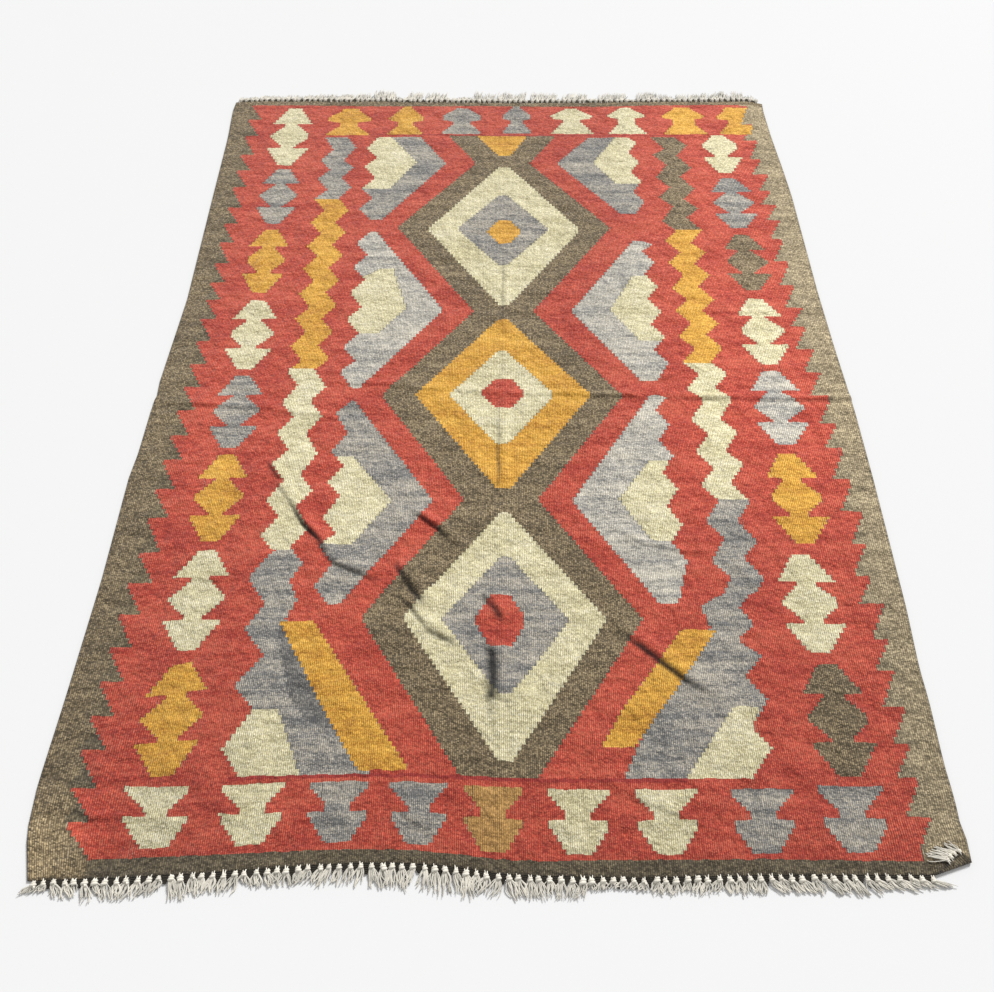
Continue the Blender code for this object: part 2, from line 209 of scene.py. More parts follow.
# Teeth of the side borders: (height of each one's flat upper edge, how far from the middle its tip reaches).
LEFT_TEETH = [
    (0.072, 0.5565), (0.119, 0.5585), (0.173, 0.561), (0.222, 0.561), (0.275, 0.561), (0.331, 0.561),
    (0.386, 0.561), (0.442, 0.561), (0.498, 0.555), (0.565, 0.555), (0.622, 0.555), (0.684, 0.555),
    (0.737, 0.555), (0.794, 0.555), (0.850, 0.555), (0.906, 0.555), (0.964, 0.555), (1.022, 0.558),
    (1.074, 0.558), (1.124, 0.561), (1.178, 0.561), (1.241, 0.561), (1.300, 0.561), (1.351, 0.561),
    (1.419, 0.561), (1.476, 0.561), (1.531, 0.561), (1.601, 0.561), (1.662, 0.561), (1.722, 0.561),
]
RIGHT_TEETH = [
    (0.078, 0.565), (0.132, 0.562), (0.182, 0.561), (0.238, 0.5665), (0.295, 0.564), (0.347, 0.566),
    (0.408, 0.570), (0.458, 0.5635), (0.517, 0.565), (0.581, 0.5725), (0.647, 0.569), (0.7135, 0.568),
    (0.768, 0.5675), (0.831, 0.569), (0.889, 0.564), (0.947, 0.5645), (1.006, 0.5615), (1.057, 0.564),
    (1.120, 0.5615), (1.189, 0.563), (1.256, 0.5625), (1.316, 0.5645), (1.366, 0.567), (1.412, 0.563),
    (1.467, 0.567), (1.520, 0.5615), (1.587, 0.566), (1.649, 0.564), (1.716, 0.565),
]

# The borders. Their shares are of the height from one tooth to the next: how far up a tooth's root is
# upright, from where its tip is, and how far up a notch of darker brown goes. Notches below the height
# LOW_NOTCHES have a brown of their own.
TOOTH_FULL = 0.90
NOTCH_SLANT = 0.55
LOW_NOTCHES = 0.20
Border = namedtuple("Border", "yarn side teeth depth blunt foot notch low_notch")
BORDERS = [
    Border("walnut", -1.0, LEFT_TEETH, 0.026, 0.10, (0.524, 0.022), "bark", "umber"),
    Border("fawn", 1.0, RIGHT_TEETH, 0.023, 0.05, (0.545, 0.039), "dun", "dun"),
]

# Yarns that are lots of one colour, which are woven together with no slit between them.
LOTS = ({"walnut", "fawn", "umber", "bark", "dun"}, {"brick", "madder"}, {"slate", "mist", "lead"})

# Upright figures, each drawn as (share of its height, half width there). A step has two rows at one height.
FIGURE = [
    (0.000, 0.0135), (0.270, 0.042), (0.290, 0.042), (0.290, 0.0135), (0.320, 0.0135), (0.475, 0.040),
    (0.525, 0.040), (0.690, 0.0135), (0.720, 0.0135), (0.720, 0.041), (0.740, 0.040), (1.000, 0.013),
]
CUP = [
    (0.00, 0.0165), (0.42, 0.0405), (0.51, 0.0405), (0.51, 0.0165), (0.62, 0.0165), (0.92, 0.042),
    (1.00, 0.042),
]
Motif = namedtuple("Motif", "yarn at foot head scale lean tilt", defaults=[0.0, 0.0])
FIGURES = [
    Motif("gold", -0.4555, 0.1335, 0.305, 1.0, -0.003, 0.016),
    Motif("cream", -0.4570, 0.325, 0.502, 1.0, 0.001, 0.007),
    Motif("gold", -0.455, 0.519, 0.695, 0.97, 0.0, 0.004),
    Motif("slate", -0.455, 0.710, 0.877, 0.95, 0.0, 0.004),
    Motif("cream", -0.456, 0.893, 1.073, 1.0),
    Motif("gold", -0.458, 1.095, 1.282, 0.95),
    Motif("slate", -0.459, 1.300, 1.482, 0.95),
    Motif("cream", -0.460, 1.495, 1.704, 1.05),
    Motif("walnut", 0.478, 0.134, 0.305, 1.0),
    Motif("cream", 0.473, 0.323, 0.495, 1.0),
    Motif("gold", 0.485, 0.517, 0.700, 0.95),
    Motif("mist", 0.488, 0.720, 0.892, 0.93),
    Motif("cream", 0.489, 0.908, 1.082, 0.93),
    Motif("walnut", 0.489, 1.105, 1.270, 0.9),
    Motif("slate", 0.488, 1.290, 1.453, 0.95),
    Motif("cream", 0.486, 1.472, 1.662, 0.95),
]
TOP_OF_LAST_FIGURE = 1.605
CUPS = [
    Motif("cream", -0.4465, 0.0345, 0.1195, 1.0, -0.009),
    Motif("cream", -0.3235, 0.0345, 0.1200, 1.0, -0.007),
    Motif("slate", -0.2095, 0.0310, 0.1200, 0.95, -0.004),
    Motif("slate", -0.1035, 0.0285, 0.1190, 0.90, -0.003),
    Motif("ochre", -0.005, 0.0270, 0.1175, 0.95),
    Motif("cream", 0.108, 0.0290, 0.1165, 1.0),
    Motif("cream", 0.2245, 0.0295, 0.1170, 1.0),
    Motif("slate", 0.350, 0.0280, 0.1165, 1.0, 0.004),
    Motif("slate", 0.472, 0.0290, 0.1210, 1.0),
]

# A tree: the half widths of its foot and brim, its neck and its top, and the heights of its foot, the two
# ends of its neck, the two ends of its brim, and the two ends of its top. TREE_FOOT is the height where its
# foot starts to narrow.
Tree = namedtuple("Tree", "yarn at half neck top heights")
TREE_FOOT = 0.006
TREES = [
    Tree("gold", -0.334, 0.048, 0.018, 0.0195, [1.6040, 1.6395, 1.6513, 1.6562, 1.6689, 1.6963, 1.7036]),
    Tree("gold", -0.206, 0.039, 0.0165, 0.0085, [1.6077, 1.6433, 1.6547, 1.6587, 1.6695, 1.7113, 1.7133]),
    Tree("slate", -0.081, 0.0447, 0.0185, 0.017, [1.6102, 1.6500, 1.6579, 1.6629, 1.6787, 1.7040, 1.7090]),
    Tree("slate", 0.042, 0.0335, 0.016, 0.005, [1.6135, 1.6504, 1.6653, 1.6688, 1.6812, 1.7170, 1.7195]),
    Tree("cream", 0.1655, 0.046, 0.0218, 0.014, [1.6123, 1.6544, 1.6652, 1.6697, 1.6815, 1.7057, 1.7086]),
    Tree("cream", 0.289, 0.0413, 0.020, 0.012, [1.6112, 1.6482, 1.6688, 1.6728, 1.6816, 1.7084, 1.7102]),
    Tree("gold", 0.4175, 0.047, 0.0234, 0.020, [1.6103, 1.6500, 1.6646, 1.6710, 1.6788, 1.7052, 1.7100]),
]
HALF_TREE = Area("gold", [
    (0.515, 1.7093), (0.565, 1.7085), (0.543, 1.6447), (0.566, 1.6425), (0.566, 1.6348), (0.558, 1.6087),
    (0.496, 1.6092), (0.496, 1.6180), (0.519, 1.6546), (0.517, 1.6614), (0.495, 1.6636), (0.495, 1.6752),
    (0.510, 1.6932),
])
BESIDE_HALF_TREE = Area("fawn", [(0.543, 1.6447), (0.565, 1.7085), (0.589, 1.7136), (0.588, 1.6478)])

# The brown lattice that holds the diamonds: its left and right edges at heights.
Waist = namedtuple("Waist", "height left right")
LATTICE = [
    Waist(0.131, -0.052, 0.055), Waist(0.380, -0.205, 0.218), Waist(0.603, -0.055, 0.065),
    Waist(0.830, -0.205, 0.220), Waist(1.045, -0.045, 0.066), Waist(1.290, -0.204, 0.228),
    Waist(1.505, -0.047, 0.067), Waist(1.604, -0.110, 0.127),
]
Diamond = namedtuple("Diamond", "yarn left right foot head waist tip top")
DIAMOND_BLUNT = 0.004
DIAMONDS = [
    Diamond("cream", -0.140, 0.162, 0.155, 0.577, 0.380, 0.010, 0.006),
    Diamond("slate", -0.082, 0.105, 0.255, 0.492, 0.378, 0.008, 0.006),
    Diamond("brick", -0.033, 0.042, 0.333, 0.420, 0.377, 0.017, 0.015),
    Diamond("gold", -0.143, 0.162, 0.625, 1.022, 0.832, 0.011, 0.010),
    Diamond("cream", -0.083, 0.098, 0.718, 0.940, 0.832, 0.008, 0.007),
    Diamond("brick", -0.027, 0.047, 0.802, 0.870, 0.836, 0.014, 0.016),
    Diamond("cream", -0.140, 0.165, 1.060, 1.490, 1.283, 0.008, 0.012),
    Diamond("slate", -0.080, 0.100, 1.175, 1.395, 1.285, 0.008, 0.008),
    Diamond("gold", -0.020, 0.045, 1.240, 1.313, 1.277, 0.012, 0.012),
]
TOP_DIAMOND = Area("gold", [(-0.048, 1.604), (0.065, 1.604), (0.027, 1.532), (0.002, 1.532)])

# Nested chevrons that point at the lattice, the outer one before the inner one.
Chevron = namedtuple("Chevron", "yarn tip tip_height head_end head foot_end foot")
CHEVRONS = [
    Chevron("slate", -0.105, 0.600, -0.252, 0.818, -0.240, 0.403),
    Chevron("cream", -0.173, 0.600, -0.243, 0.692, -0.230, 0.513),
    Chevron("mist", -0.103, 1.048, -0.245, 1.275, -0.245, 0.848),
    Chevron("cream", -0.173, 1.052, -0.205, 1.165, -0.222, 0.985),
    Chevron("slate", -0.112, 1.503, -0.170, 1.598, -0.238, 1.313),
    Chevron("cream", -0.175, 1.508, -0.235, 1.598, -0.228, 1.415),
    Chevron("mist", 0.121, 0.600, 0.268, 0.832, 0.245, 0.408),
    Chevron("cream", 0.197, 0.604, 0.255, 0.685, 0.245, 0.522),
    Chevron("mist", 0.138, 1.045, 0.272, 1.250, 0.255, 0.868),
    Chevron("cream", 0.212, 1.050, 0.262, 1.145, 0.262, 0.968),
    Chevron("slate", 0.126, 1.505, 0.200, 1.598, 0.252, 1.335),
    Chevron("cream", 0.205, 1.507, 0.258, 1.598, 0.250, 1.435),
]
CHEVRON_BACK = 0.315
CHEVRON_CORNER = Area("mist", [(-0.227, 1.167), (-0.265, 1.138), (-0.290, 1.138), (-0.290, 1.167)])

# The hooked red edge behind each pair of chevrons, whose far side turns at these heights.
Hooks = namedtuple("Hooks", "tip notch heights")
HOOKS = [
    Hooks(-0.281, -0.257, [
        0.403, 0.435, 0.478, 0.510, 0.535, 0.565, 0.610, 0.637, 0.672, 0.702, 0.742, 0.788, 0.818,
    ]),
    Hooks(-0.284, -0.258, [
        0.848, 0.885, 0.915, 0.950, 0.985, 1.022, 1.055, 1.095, 1.132, 1.168, 1.205, 1.240, 1.275,
    ]),
    Hooks(-0.287, -0.261, [1.313, 1.348, 1.382, 1.415, 1.453, 1.491, 1.523, 1.556, 1.604]),
    Hooks(0.296, 0.275, [
        0.408, 0.485, 0.518, 0.553, 0.590, 0.624, 0.660, 0.695, 0.730, 0.765, 0.798, 0.826, 0.832,
    ]),
    Hooks(0.309, 0.286, [
        0.868, 0.912, 0.945, 0.978, 1.011, 1.045, 1.080, 1.115, 1.150, 1.185, 1.218, 1.240, 1.250,
    ]),
    Hooks(0.305, 0.284, [1.335, 1.375, 1.408, 1.442, 1.475, 1.509, 1.545, 1.578, 1.604]),
]

# Upright zigzags, with the heights where the left and the right edge turn. Both edges swing left first.
Zigzag = namedtuple("Zigzag", "low_at high_at half swing left right colours")
Run = namedtuple("Run", "yarn low high")
ZIGZAGS = [
    Zigzag(-0.339, -0.347, 0.0250, -0.0120, [
        0.456, 0.502, 0.531, 0.568, 0.601, 0.639, 0.675, 0.705, 0.745, 0.778, 0.813, 0.854, 0.889, 0.915,
        0.951, 0.988, 1.023, 1.054, 1.093, 1.128, 1.163, 1.201, 1.230, 1.270, 1.304, 1.343, 1.380, 1.411,
        1.448, 1.480, 1.513, 1.551, 1.600,
    ], [
        0.448, 0.482, 0.508, 0.544, 0.586, 0.620, 0.653, 0.698, 0.743, 0.780, 0.818, 0.850, 0.893, 0.920,
        0.953, 0.988, 1.023, 1.060, 1.096, 1.130, 1.165, 1.204, 1.235, 1.274, 1.305, 1.343, 1.384, 1.420,
        1.453, 1.488, 1.514, 1.558, 1.600,
    ], [
        Run("cream", 0.503, 0.895),
        Run("gold", 0.895, 1.380),
        Run("slate", 1.380, 1.596),
    ]),
    Zigzag(0.372, 0.376, 0.0255, -0.0135, [
        0.400, 0.454, 0.484, 0.527, 0.560, 0.601, 0.633, 0.669, 0.704, 0.743, 0.775, 0.818, 0.849, 0.883,
        0.914, 0.948, 0.980, 1.015, 1.049, 1.078, 1.110, 1.148, 1.184, 1.215, 1.250, 1.283, 1.310, 1.360,
        1.390, 1.423, 1.457, 1.500, 1.535, 1.558, 1.600,
    ], [
        0.412, 0.452, 0.491, 0.520, 0.562, 0.599, 0.638, 0.678, 0.706, 0.748, 0.779, 0.821, 0.851, 0.885,
        0.914, 0.950, 0.984, 1.013, 1.048, 1.078, 1.115, 1.148, 1.182, 1.215, 1.244, 1.284, 1.323, 1.353,
        1.383, 1.420, 1.457, 1.490, 1.533, 1.570, 1.600,
    ], [
        Run("slate", 0.425, 0.604),
        Run("cream", 0.604, 0.911),
        Run("gold", 0.911, 1.285),
        Run("walnut", 1.285, 1.600),
    ]),
]

# The near corners of the field, where the zigzags widen into slanting blocks.
NEAR_BLOCKS = [
    Area("slate", [
        (-0.350, 0.131), (-0.380, 0.172), (-0.345, 0.232), (-0.378, 0.269), (-0.342, 0.317), (-0.376, 0.361),
        (-0.352, 0.405), (-0.385, 0.452), (-0.352, 0.501), (-0.322, 0.501), (-0.302, 0.478), (-0.320, 0.447),
        (-0.304, 0.412), (-0.318, 0.377), (-0.290, 0.360), (-0.170, 0.131),
    ]),
    Area("cream", [
        (-0.350, 0.131), (-0.380, 0.172), (-0.345, 0.232), (-0.310, 0.230), (-0.268, 0.131),
    ]),
    Area("lead", [
        (-0.328, 0.366), (-0.312, 0.300), (-0.292, 0.242), (-0.268, 0.212), (-0.236, 0.199), (-0.180, 0.192),
        (-0.280, 0.370),
    ]),
    Area("gold", [(-0.326, 0.373), (-0.275, 0.375), (-0.120, 0.137), (-0.190, 0.136), (-0.239, 0.217)]),
    Area("slate", [
        (0.172, 0.132), (0.345, 0.131), (0.380, 0.176), (0.356, 0.205), (0.385, 0.250), (0.358, 0.285),
        (0.387, 0.318), (0.355, 0.345), (0.384, 0.372), (0.366, 0.400), (0.404, 0.450), (0.345, 0.426),
        (0.307, 0.403), (0.318, 0.366), (0.300, 0.350), (0.195, 0.180),
    ]),
    Area("cream", [
        (0.255, 0.131), (0.345, 0.131), (0.380, 0.176), (0.356, 0.205), (0.372, 0.238), (0.335, 0.238),
    ]),
    Area("gold", [
        (0.273, 0.362), (0.326, 0.362), (0.256, 0.264), (0.189, 0.177), (0.144, 0.177), (0.177, 0.235),
        (0.223, 0.293),
    ]),
]

# ----------------------------------------------------------------------------------------------------------
# The fringes.

# Tufts: (where each starts across the rug, how far its locks reach, how far their tips lean to the right).
# The tips of two neighbouring locks close on each other by no more than MOST_CLOSING.
Lock = namedtuple("Lock", "at reach lean")
MOST_CLOSING = 0.006
NEAR_LOCKS = 86
NEAR_FROM = -0.592
NEAR_TO = 0.552
NEAR_TUFTS = [
    (-0.600, 0.019, -0.008), (-0.570, 0.026, 0.005), (-0.545, 0.021, -0.003), (-0.525, 0.029, 0.006),
    (-0.490, 0.029, -0.004), (-0.425, 0.032, 0.004), (-0.380, 0.029, -0.005), (-0.325, 0.024, 0.003),
    (-0.280, 0.028, -0.004), (-0.220, 0.032, -0.006), (-0.170, 0.037, 0.004), (-0.110, 0.036, -0.003),
    (-0.070, 0.040, 0.005), (-0.040, 0.030, -0.006), (0.010, 0.033, 0.005), (0.060, 0.029, 0.000),
    (0.120, 0.018, -0.004), (0.195, 0.025, -0.003), (0.290, 0.026, 0.004), (0.345, 0.024, 0.012),
    (0.390, 0.028, 0.014), (0.478, 0.021, 0.016), (0.520, 0.017, 0.016),
]
FAR_LOCKS = 98
FAR_FROM = -0.590
FAR_TO = 0.587
FAR_TUFTS = [
    (-0.600, 0.021, 0.004), (-0.560, 0.027, 0.004), (-0.480, 0.030, 0.004), (-0.410, 0.036, 0.005),
    (-0.335, 0.042, 0.003), (-0.297, 0.021, 0.000), (-0.280, 0.050, 0.002), (-0.228, 0.025, 0.000),
    (-0.205, 0.046, 0.004), (-0.125, 0.026, 0.003), (-0.050, 0.054, 0.002), (-0.034, 0.044, 0.004),
    (-0.010, 0.024, 0.002), (0.002, 0.050, 0.006), (0.058, 0.022, 0.002), (0.072, 0.047, 0.006),
    (0.128, 0.019, 0.002), (0.150, 0.042, 0.004), (0.205, 0.023, 0.002), (0.226, 0.041, 0.005),
    (0.295, 0.014, 0.000), (0.320, 0.049, 0.006), (0.368, 0.017, 0.002), (0.380, 0.037, 0.003),
    (0.394, 0.021, 0.002), (0.410, 0.039, 0.005), (0.500, 0.045, 0.002), (0.552, 0.030, 0.000),
    (0.576, 0.021, -0.002),
]
CORNER_LOCKS = 4
CORNER_FROM = 0.578
CORNER_TO = 0.598
CORNER_TUFTS = [(0.570, 0.026, -0.013)]
CORNER_SCALE = 0.7

# One lock: two pairs of warps gather into a knot, and their yarns fray out beyond it, with a few dark yarns
# lying low among them as painted shade between the strands. A row of locks has its own numbers of yarns, and
# its own share of the brown wool's colour for the wefts between its knots: real brown wefts, darkened as
# painted shade in the gaps between the knots.
Row = namedtuple("Row", "side outward floor scale yarns old_yarns seed wefts")
LOOSE_SLOT, WEFT_AND_SHADE_SLOT, SHADE_YARN_SLOT, KNOT_SLOT = range(4)
# Shares of the warp's colour: the dark yarns, which are painted shade between the strands, and the loose
# yarns.
SHADE_YARN_SHARE = 0.18
LOOSE_SHARE = 0.97
KNOT_OUT = 0.0053
KNOT_RADIUS = 0.0031
KNOT_RISE = 0.0060
KNOT_TURNS = 2.1
KNOT_POINTS = 17
KNOT_YARN = 2.9
KNOT_HEIGHT = 0.0030
KNOT_CLEARANCE = 0.0004
KNOT_ALONG = 0.0018
KNOT_ACROSS = 0.0012
LEG_SPREAD = 0.0021
LEG_START = -0.0022
TAIL_POINTS = 7
TAIL_SPREAD = 0.0070
CURL = 0.0022
STRAY = 0.0050
PAD_ROWS = 5
PAD_START = 0.0014
PAD_STEP = 0.0023
PAD_SWELL = 0.0009
PAD_RADIUS = 0.0014

# ----------------------------------------------------------------------------------------------------------
# The look of the wool.

# How one wool takes its dye: how much it varies in bands (abrash), in patches, along each weft and from
# stitch to stitch, how strong the painted shade between its ribs is, and the deep and pale ends of that
# range, as shares of the main colour.
Dye = namedtuple("Dye", "abrash patch thread stitch rib deep pale")
DYES = {
    "brick": Dye(0.6, 1.2, 0.8, 1.2, 1.6, (0.70, 0.46, 0.50), (1.14, 1.55, 1.60)),
    "madder": Dye(0.3, 0.5, 0.6, 0.8, 1.4, (0.70, 0.50, 0.50), (1.10, 1.40, 1.40)),
    "gold": Dye(0.5, 0.8, 0.8, 0.7, 1.0, (0.68, 0.56, 0.45), (1.15, 1.28, 1.80)),
    "ochre": Dye(0.5, 0.8, 0.8, 0.8, 1.1, (0.60, 0.55, 0.50), (1.25, 1.30, 1.45)),
    "cream": Dye(0.4, 0.7, 0.8, 0.8, 0.85, (0.70, 0.68, 0.60), (1.10, 1.12, 1.30)),
    "slate": Dye(1.0, 0.8, 0.9, 1.0, 1.3, (0.48, 0.51, 0.57), (1.52, 1.46, 1.34)),
    "lead": Dye(0.9, 0.8, 0.9, 1.1, 1.3, (0.56, 0.58, 0.64), (1.62, 1.60, 1.56)),
    "mist": Dye(1.0, 0.7, 1.0, 0.8, 1.1, (0.52, 0.54, 0.59), (1.28, 1.26, 1.20)),
    "walnut": Dye(0.5, 0.4, 0.3, 1.5, 1.5, (0.46, 0.46, 0.42), (1.80, 1.88, 1.98)),
    "fawn": Dye(0.5, 0.4, 0.3, 1.3, 1.1, (0.50, 0.50, 0.46), (1.55, 1.60, 1.62)),
    "dun": Dye(0.5, 0.4, 0.3, 1.3, 1.1, (0.50, 0.50, 0.46), (1.55, 1.60, 1.62)),
    "bark": Dye(0.5, 0.4, 0.3, 1.4, 1.4, (0.46, 0.47, 0.42), (1.75, 1.84, 1.88)),
    "umber": Dye(0.4, 0.4, 0.3, 1.4, 1.5, (0.50, 0.50, 0.46), (1.75, 1.80, 1.80)),
}
WARP_FLECK = (0.56, 0.50, 0.40)

# The finish of every material.
WOOL_ROUGHNESS = 0.92
YARN_ROUGHNESS = 0.90
FLOOR_ROUGHNESS = 0.80
SHINE = 0.25
SHEEN = 0.15
SHEEN_ROUGHNESS = 0.6

# Noises in the wool, each as (how fine, detail, roughness): how a rib wanders and wavers, the fibres and
# grain of the surface, its mottling and ripples, the yarn of each weft, and the bands and patches of dye.
# The last two are for the fringes' yarns.
WANDER = (45.0, 1.0)
WAVER = (170.0, 2.0)
FIBRES = (900.0, 2.0, 0.6)
GRAIN = (560.0, 3.0, 0.75)
MOTTLE = (85.0, 3.0, 0.6)
RIPPLE = (24.0, 3.0, 0.6)
THREADS = (1.0, 1.0)
BANDS = (1.0, 3.0, 0.65)
PATCHES = (1.0, 3.0, 0.6)
GRIME = (60.0, 2.0)
YARN_FIBRES = (1400.0, 2.0, 0.6)

# Depths of the wool's relief, and how far a rib strays from its line.
RIB_STRAY = 0.0012
FIBRE_DEPTH = 0.0003
MOTTLE_DEPTH = 0.0014
SLIT_DEPTH = 0.0012
YARN_FIBRE_DEPTH = 0.0004

# Darkening and lightening, as lengths and as shares of the wool's colour: painted shade along the rim;
# the cloth darker towards its near end, which keeps a share of its colour that rises to the whole over a
# length; lighter at its right side in its far half and at its near left corner; darker along the near part
# of its left side; and the near edge darker, partly the dark wool of its last wefts and partly painted shade
# where it meets the knots.
RIM_SHADE_WIDTH = 0.003
RIM_SHADE = 0.45
NEAR_LIGHTNESS = 0.76
LIGHTNESS_LENGTH = 0.60
RIGHT_LIGHTENING = 0.20
CORNER_LIGHTENING = 0.60
LEFT_DARKENING = 0.07
LAST_WEFTS_AND_SHADE_REACH = 0.004
LAST_WEFTS_AND_SHADE_DARK = 0.6

# ----------------------------------------------------------------------------------------------------------
# The stage. The camera stands in front of the near end and looks down at the rug.

CAMERA_PLACE = (-0.0033, -1.2630, 1.3397)
CAMERA_TURN = (36.706, -0.150, 0.070)
CAMERA_LENS = 36.98
FLOOR_SIZE = 14.0
FLOOR_DROP = 0.0005

# One far lamp, as wide as a studio window, turned to shine across the rug from its far right: its turn in
# degrees, strength and degrees of width. The rest of the light is even all round.
LAMP_TURN = (52.0, 0.0, 148.0)
LAMP_STRENGTH = 3.6
LAMP_WIDTH = 14.0
WORLD_STRENGTH = 0.55


def linear_colour(red, green, blue):
    """A colour in the linear light that shaders work in, from display values of 0 to 255."""
    shares = [value / 255.0 for value in (red, green, blue)]
    return tuple(((share + 0.055) / 1.055) ** 2.4 if share > 0.04045 else share / 12.92 for share in shares)


def colour_property(name, red, green, blue, description):
    return bpy.props.FloatVectorProperty(
        name=name,
        description=description,
        subtype="COLOR",
        size=3,
        min=0.0,
        max=1.0,
        default=linear_colour(red, green, blue),
    )


def length_property(name, default, description):
    return bpy.props.FloatProperty(
        name=name,
        description=description,
        default=default,
        min=0.0,
        unit="LENGTH",
        precision=5,
    )


class KilimYarns(bpy.types.PropertyGroup):
    brick: colour_property("Brick", 199, 79, 57, "Madder-dyed wool of the field")
    madder: colour_property("Dark madder", 170, 52, 44, "Darker red of the lines between the bands")
    gold: colour_property("Gold", 227, 168, 60, "Yellow wool")
    ochre: colour_property("Ochre", 193, 147, 82, "Browner yellow wool of one near motif")
    cream: colour_property("Cream", 230, 220, 177, "Undyed pale wool")
    slate: colour_property("Slate", 161, 156, 147, "Grey-blue wool, unevenly dyed")
    mist: colour_property("Mist", 198, 192, 179, "A paler lot of the grey-blue wool")
    lead: colour_property("Lead", 118, 115, 110, "A darker lot of the grey-blue wool, beside a gold block")
    walnut: colour_property("Walnut", 124, 107, 79, "Undyed brown wool of the lattice and the left border")
    fawn: colour_property("Fawn", 165, 148, 117, "Paler undyed brown wool of the right border")
    bark: colour_property("Bark", 114, 99, 73, "Brown wool between the teeth of the left border")
    dun: colour_property("Dun", 153, 138, 109, "Brown wool between the teeth of the right border")
    umber: colour_property("Umber", 101, 89, 68, "Darker undyed brown wool of the near end band")
    warp: colour_property("Warp", 234, 228, 214, "Undyed warp yarn of the fringes")
    floor: colour_property("Floor", 222, 222, 222, "The plain floor")


class KilimSizes(bpy.types.PropertyGroup):
    slit: length_property("Slit", 0.0018, "Width of the dark line along an upright colour edge")
    rib_depth: length_property("Rib depth", 0.0008, "Depth of the valleys between the warps")
    weft_depth: length_property("Weft depth", 0.00025, "Depth of the dips between the rows of weft")
    fuzz: length_property("Fuzz", 0.0009, "How rough the wool's surface is")
    cockle: length_property("Cockle", 0.014, "How deep the cloth's slight ripples are")
    yarn: length_property("Warp yarn", 0.0007, "Radius of one yarn of the fringe")
    unevenness: length_property("Unevenness", 0.0020, "How far a woven colour edge wanders")


# ----------------------------------------------------------------------------------------------------------
# Shader maths.


class Sum:
    """One value in a material's node tree. Arithmetic on it adds the Math nodes that work it out."""

    def __init__(self, tree, socket):
        self.tree = tree
        self.socket = socket

    def _math(self, operation, first, second, clamp=False):
        settings = {"operation": operation, "use_clamp": clamp}
        return Sum(self.tree, add_node(self.tree, "ShaderNodeMath", settings, [first, second]).outputs[0])

    def __add__(self, other):
        return self._math("ADD", self, other)

    def __radd__(self, other):
        return self._math("ADD", other, self)

    def __sub__(self, other):
        return self._math("SUBTRACT", self, other)

    def __rsub__(self, other):
        return self._math("SUBTRACT", other, self)

    def __mul__(self, other):
        return self._math("MULTIPLY", self, other)

    def __rmul__(self, other):
        return self._math("MULTIPLY", other, self)

    def __truediv__(self, other):
        return self._math("DIVIDE", self, other)

    def __pow__(self, other):
        return self._math("POWER", self, other)

    def sine(self):
        return self._math("SINE", self, 0.0)

    def size(self):
        return self._math("ABSOLUTE", self, 0.0)

    def whole(self):
        return self._math("FLOOR", self, 0.0)

    def rest_after(self, step):
        return self._math("FLOORED_MODULO", self, step)

    def held(self):
        return self._math("ADD", self, 0.0, clamp=True)


def add_node(tree, kind, settings, inputs):
    """A node with its settings made first, then its sockets given values or links, by place or by name."""
    made = tree.nodes.new(kind)
    for name, value in settings.items():
        setattr(made, name, value)
    pairs = inputs.items() if isinstance(inputs, dict) else enumerate(inputs)
    for place, value in pairs:
        socket = made.inputs[place]
        if isinstance(value, Sum):
            tree.links.new(value.socket, socket)
        elif isinstance(value, bpy.types.NodeSocket):
            tree.links.new(value, socket)
        else:
            socket.default_value = value
    return made


def noise_at(tree, place, scale, detail, roughness=0.5):
    made = add_node(tree, "ShaderNodeTexNoise", {"noise_dimensions": "3D"}, {
        "Vector": place,
        "Scale": scale,
        "Detail": detail,
        "Roughness": roughness,
    })
    return Sum(tree, made.outputs["Fac"])


def scatter_at(tree, place):
    """A value from 0 to 1 that is unlike at each whole place."""
    made = add_node(tree, "ShaderNodeTexWhiteNoise", {"noise_dimensions": "3D"}, {"Vector": place})
    return Sum(tree, made.outputs["Value"])


def place_of(tree, x, y):
    return add_node(tree, "ShaderNodeCombineXYZ", {}, [x, y]).outputs[0]


def shaded(tree, colour, factor):
    """A colour made lighter or darker by a value."""
    made = add_node(tree, "ShaderNodeVectorMath", {"operation": "SCALE"}, {"Vector": colour, "Scale": factor})
    return made.outputs[0]


def mixed(tree, share, first, second):
    """A colour between two others. The node's colour sockets are its seventh and eighth."""
    first, second = [(*colour, 1.0) if isinstance(colour, tuple) else colour for colour in (first, second)]
    made = add_node(tree, "ShaderNodeMix", {"data_type": "RGBA"}, {0: share, 6: first, 7: second})
    return made.outputs[2]


def start_material(name, roughness):
    """A new material with only its shader and output, and the shader's fixed finish."""
    material = bpy.data.materials.new(name)
    material.use_nodes = True
    shader = material.node_tree.nodes["Principled BSDF"]
    shader.inputs["Roughness"].default_value = roughness
    shader.inputs["Specular IOR Level"].default_value = SHINE
    shader.inputs["Sheen Weight"].default_value = SHEEN
    shader.inputs["Sheen Roughness"].default_value = SHEEN_ROUGHNESS
    return material, material.node_tree, shader


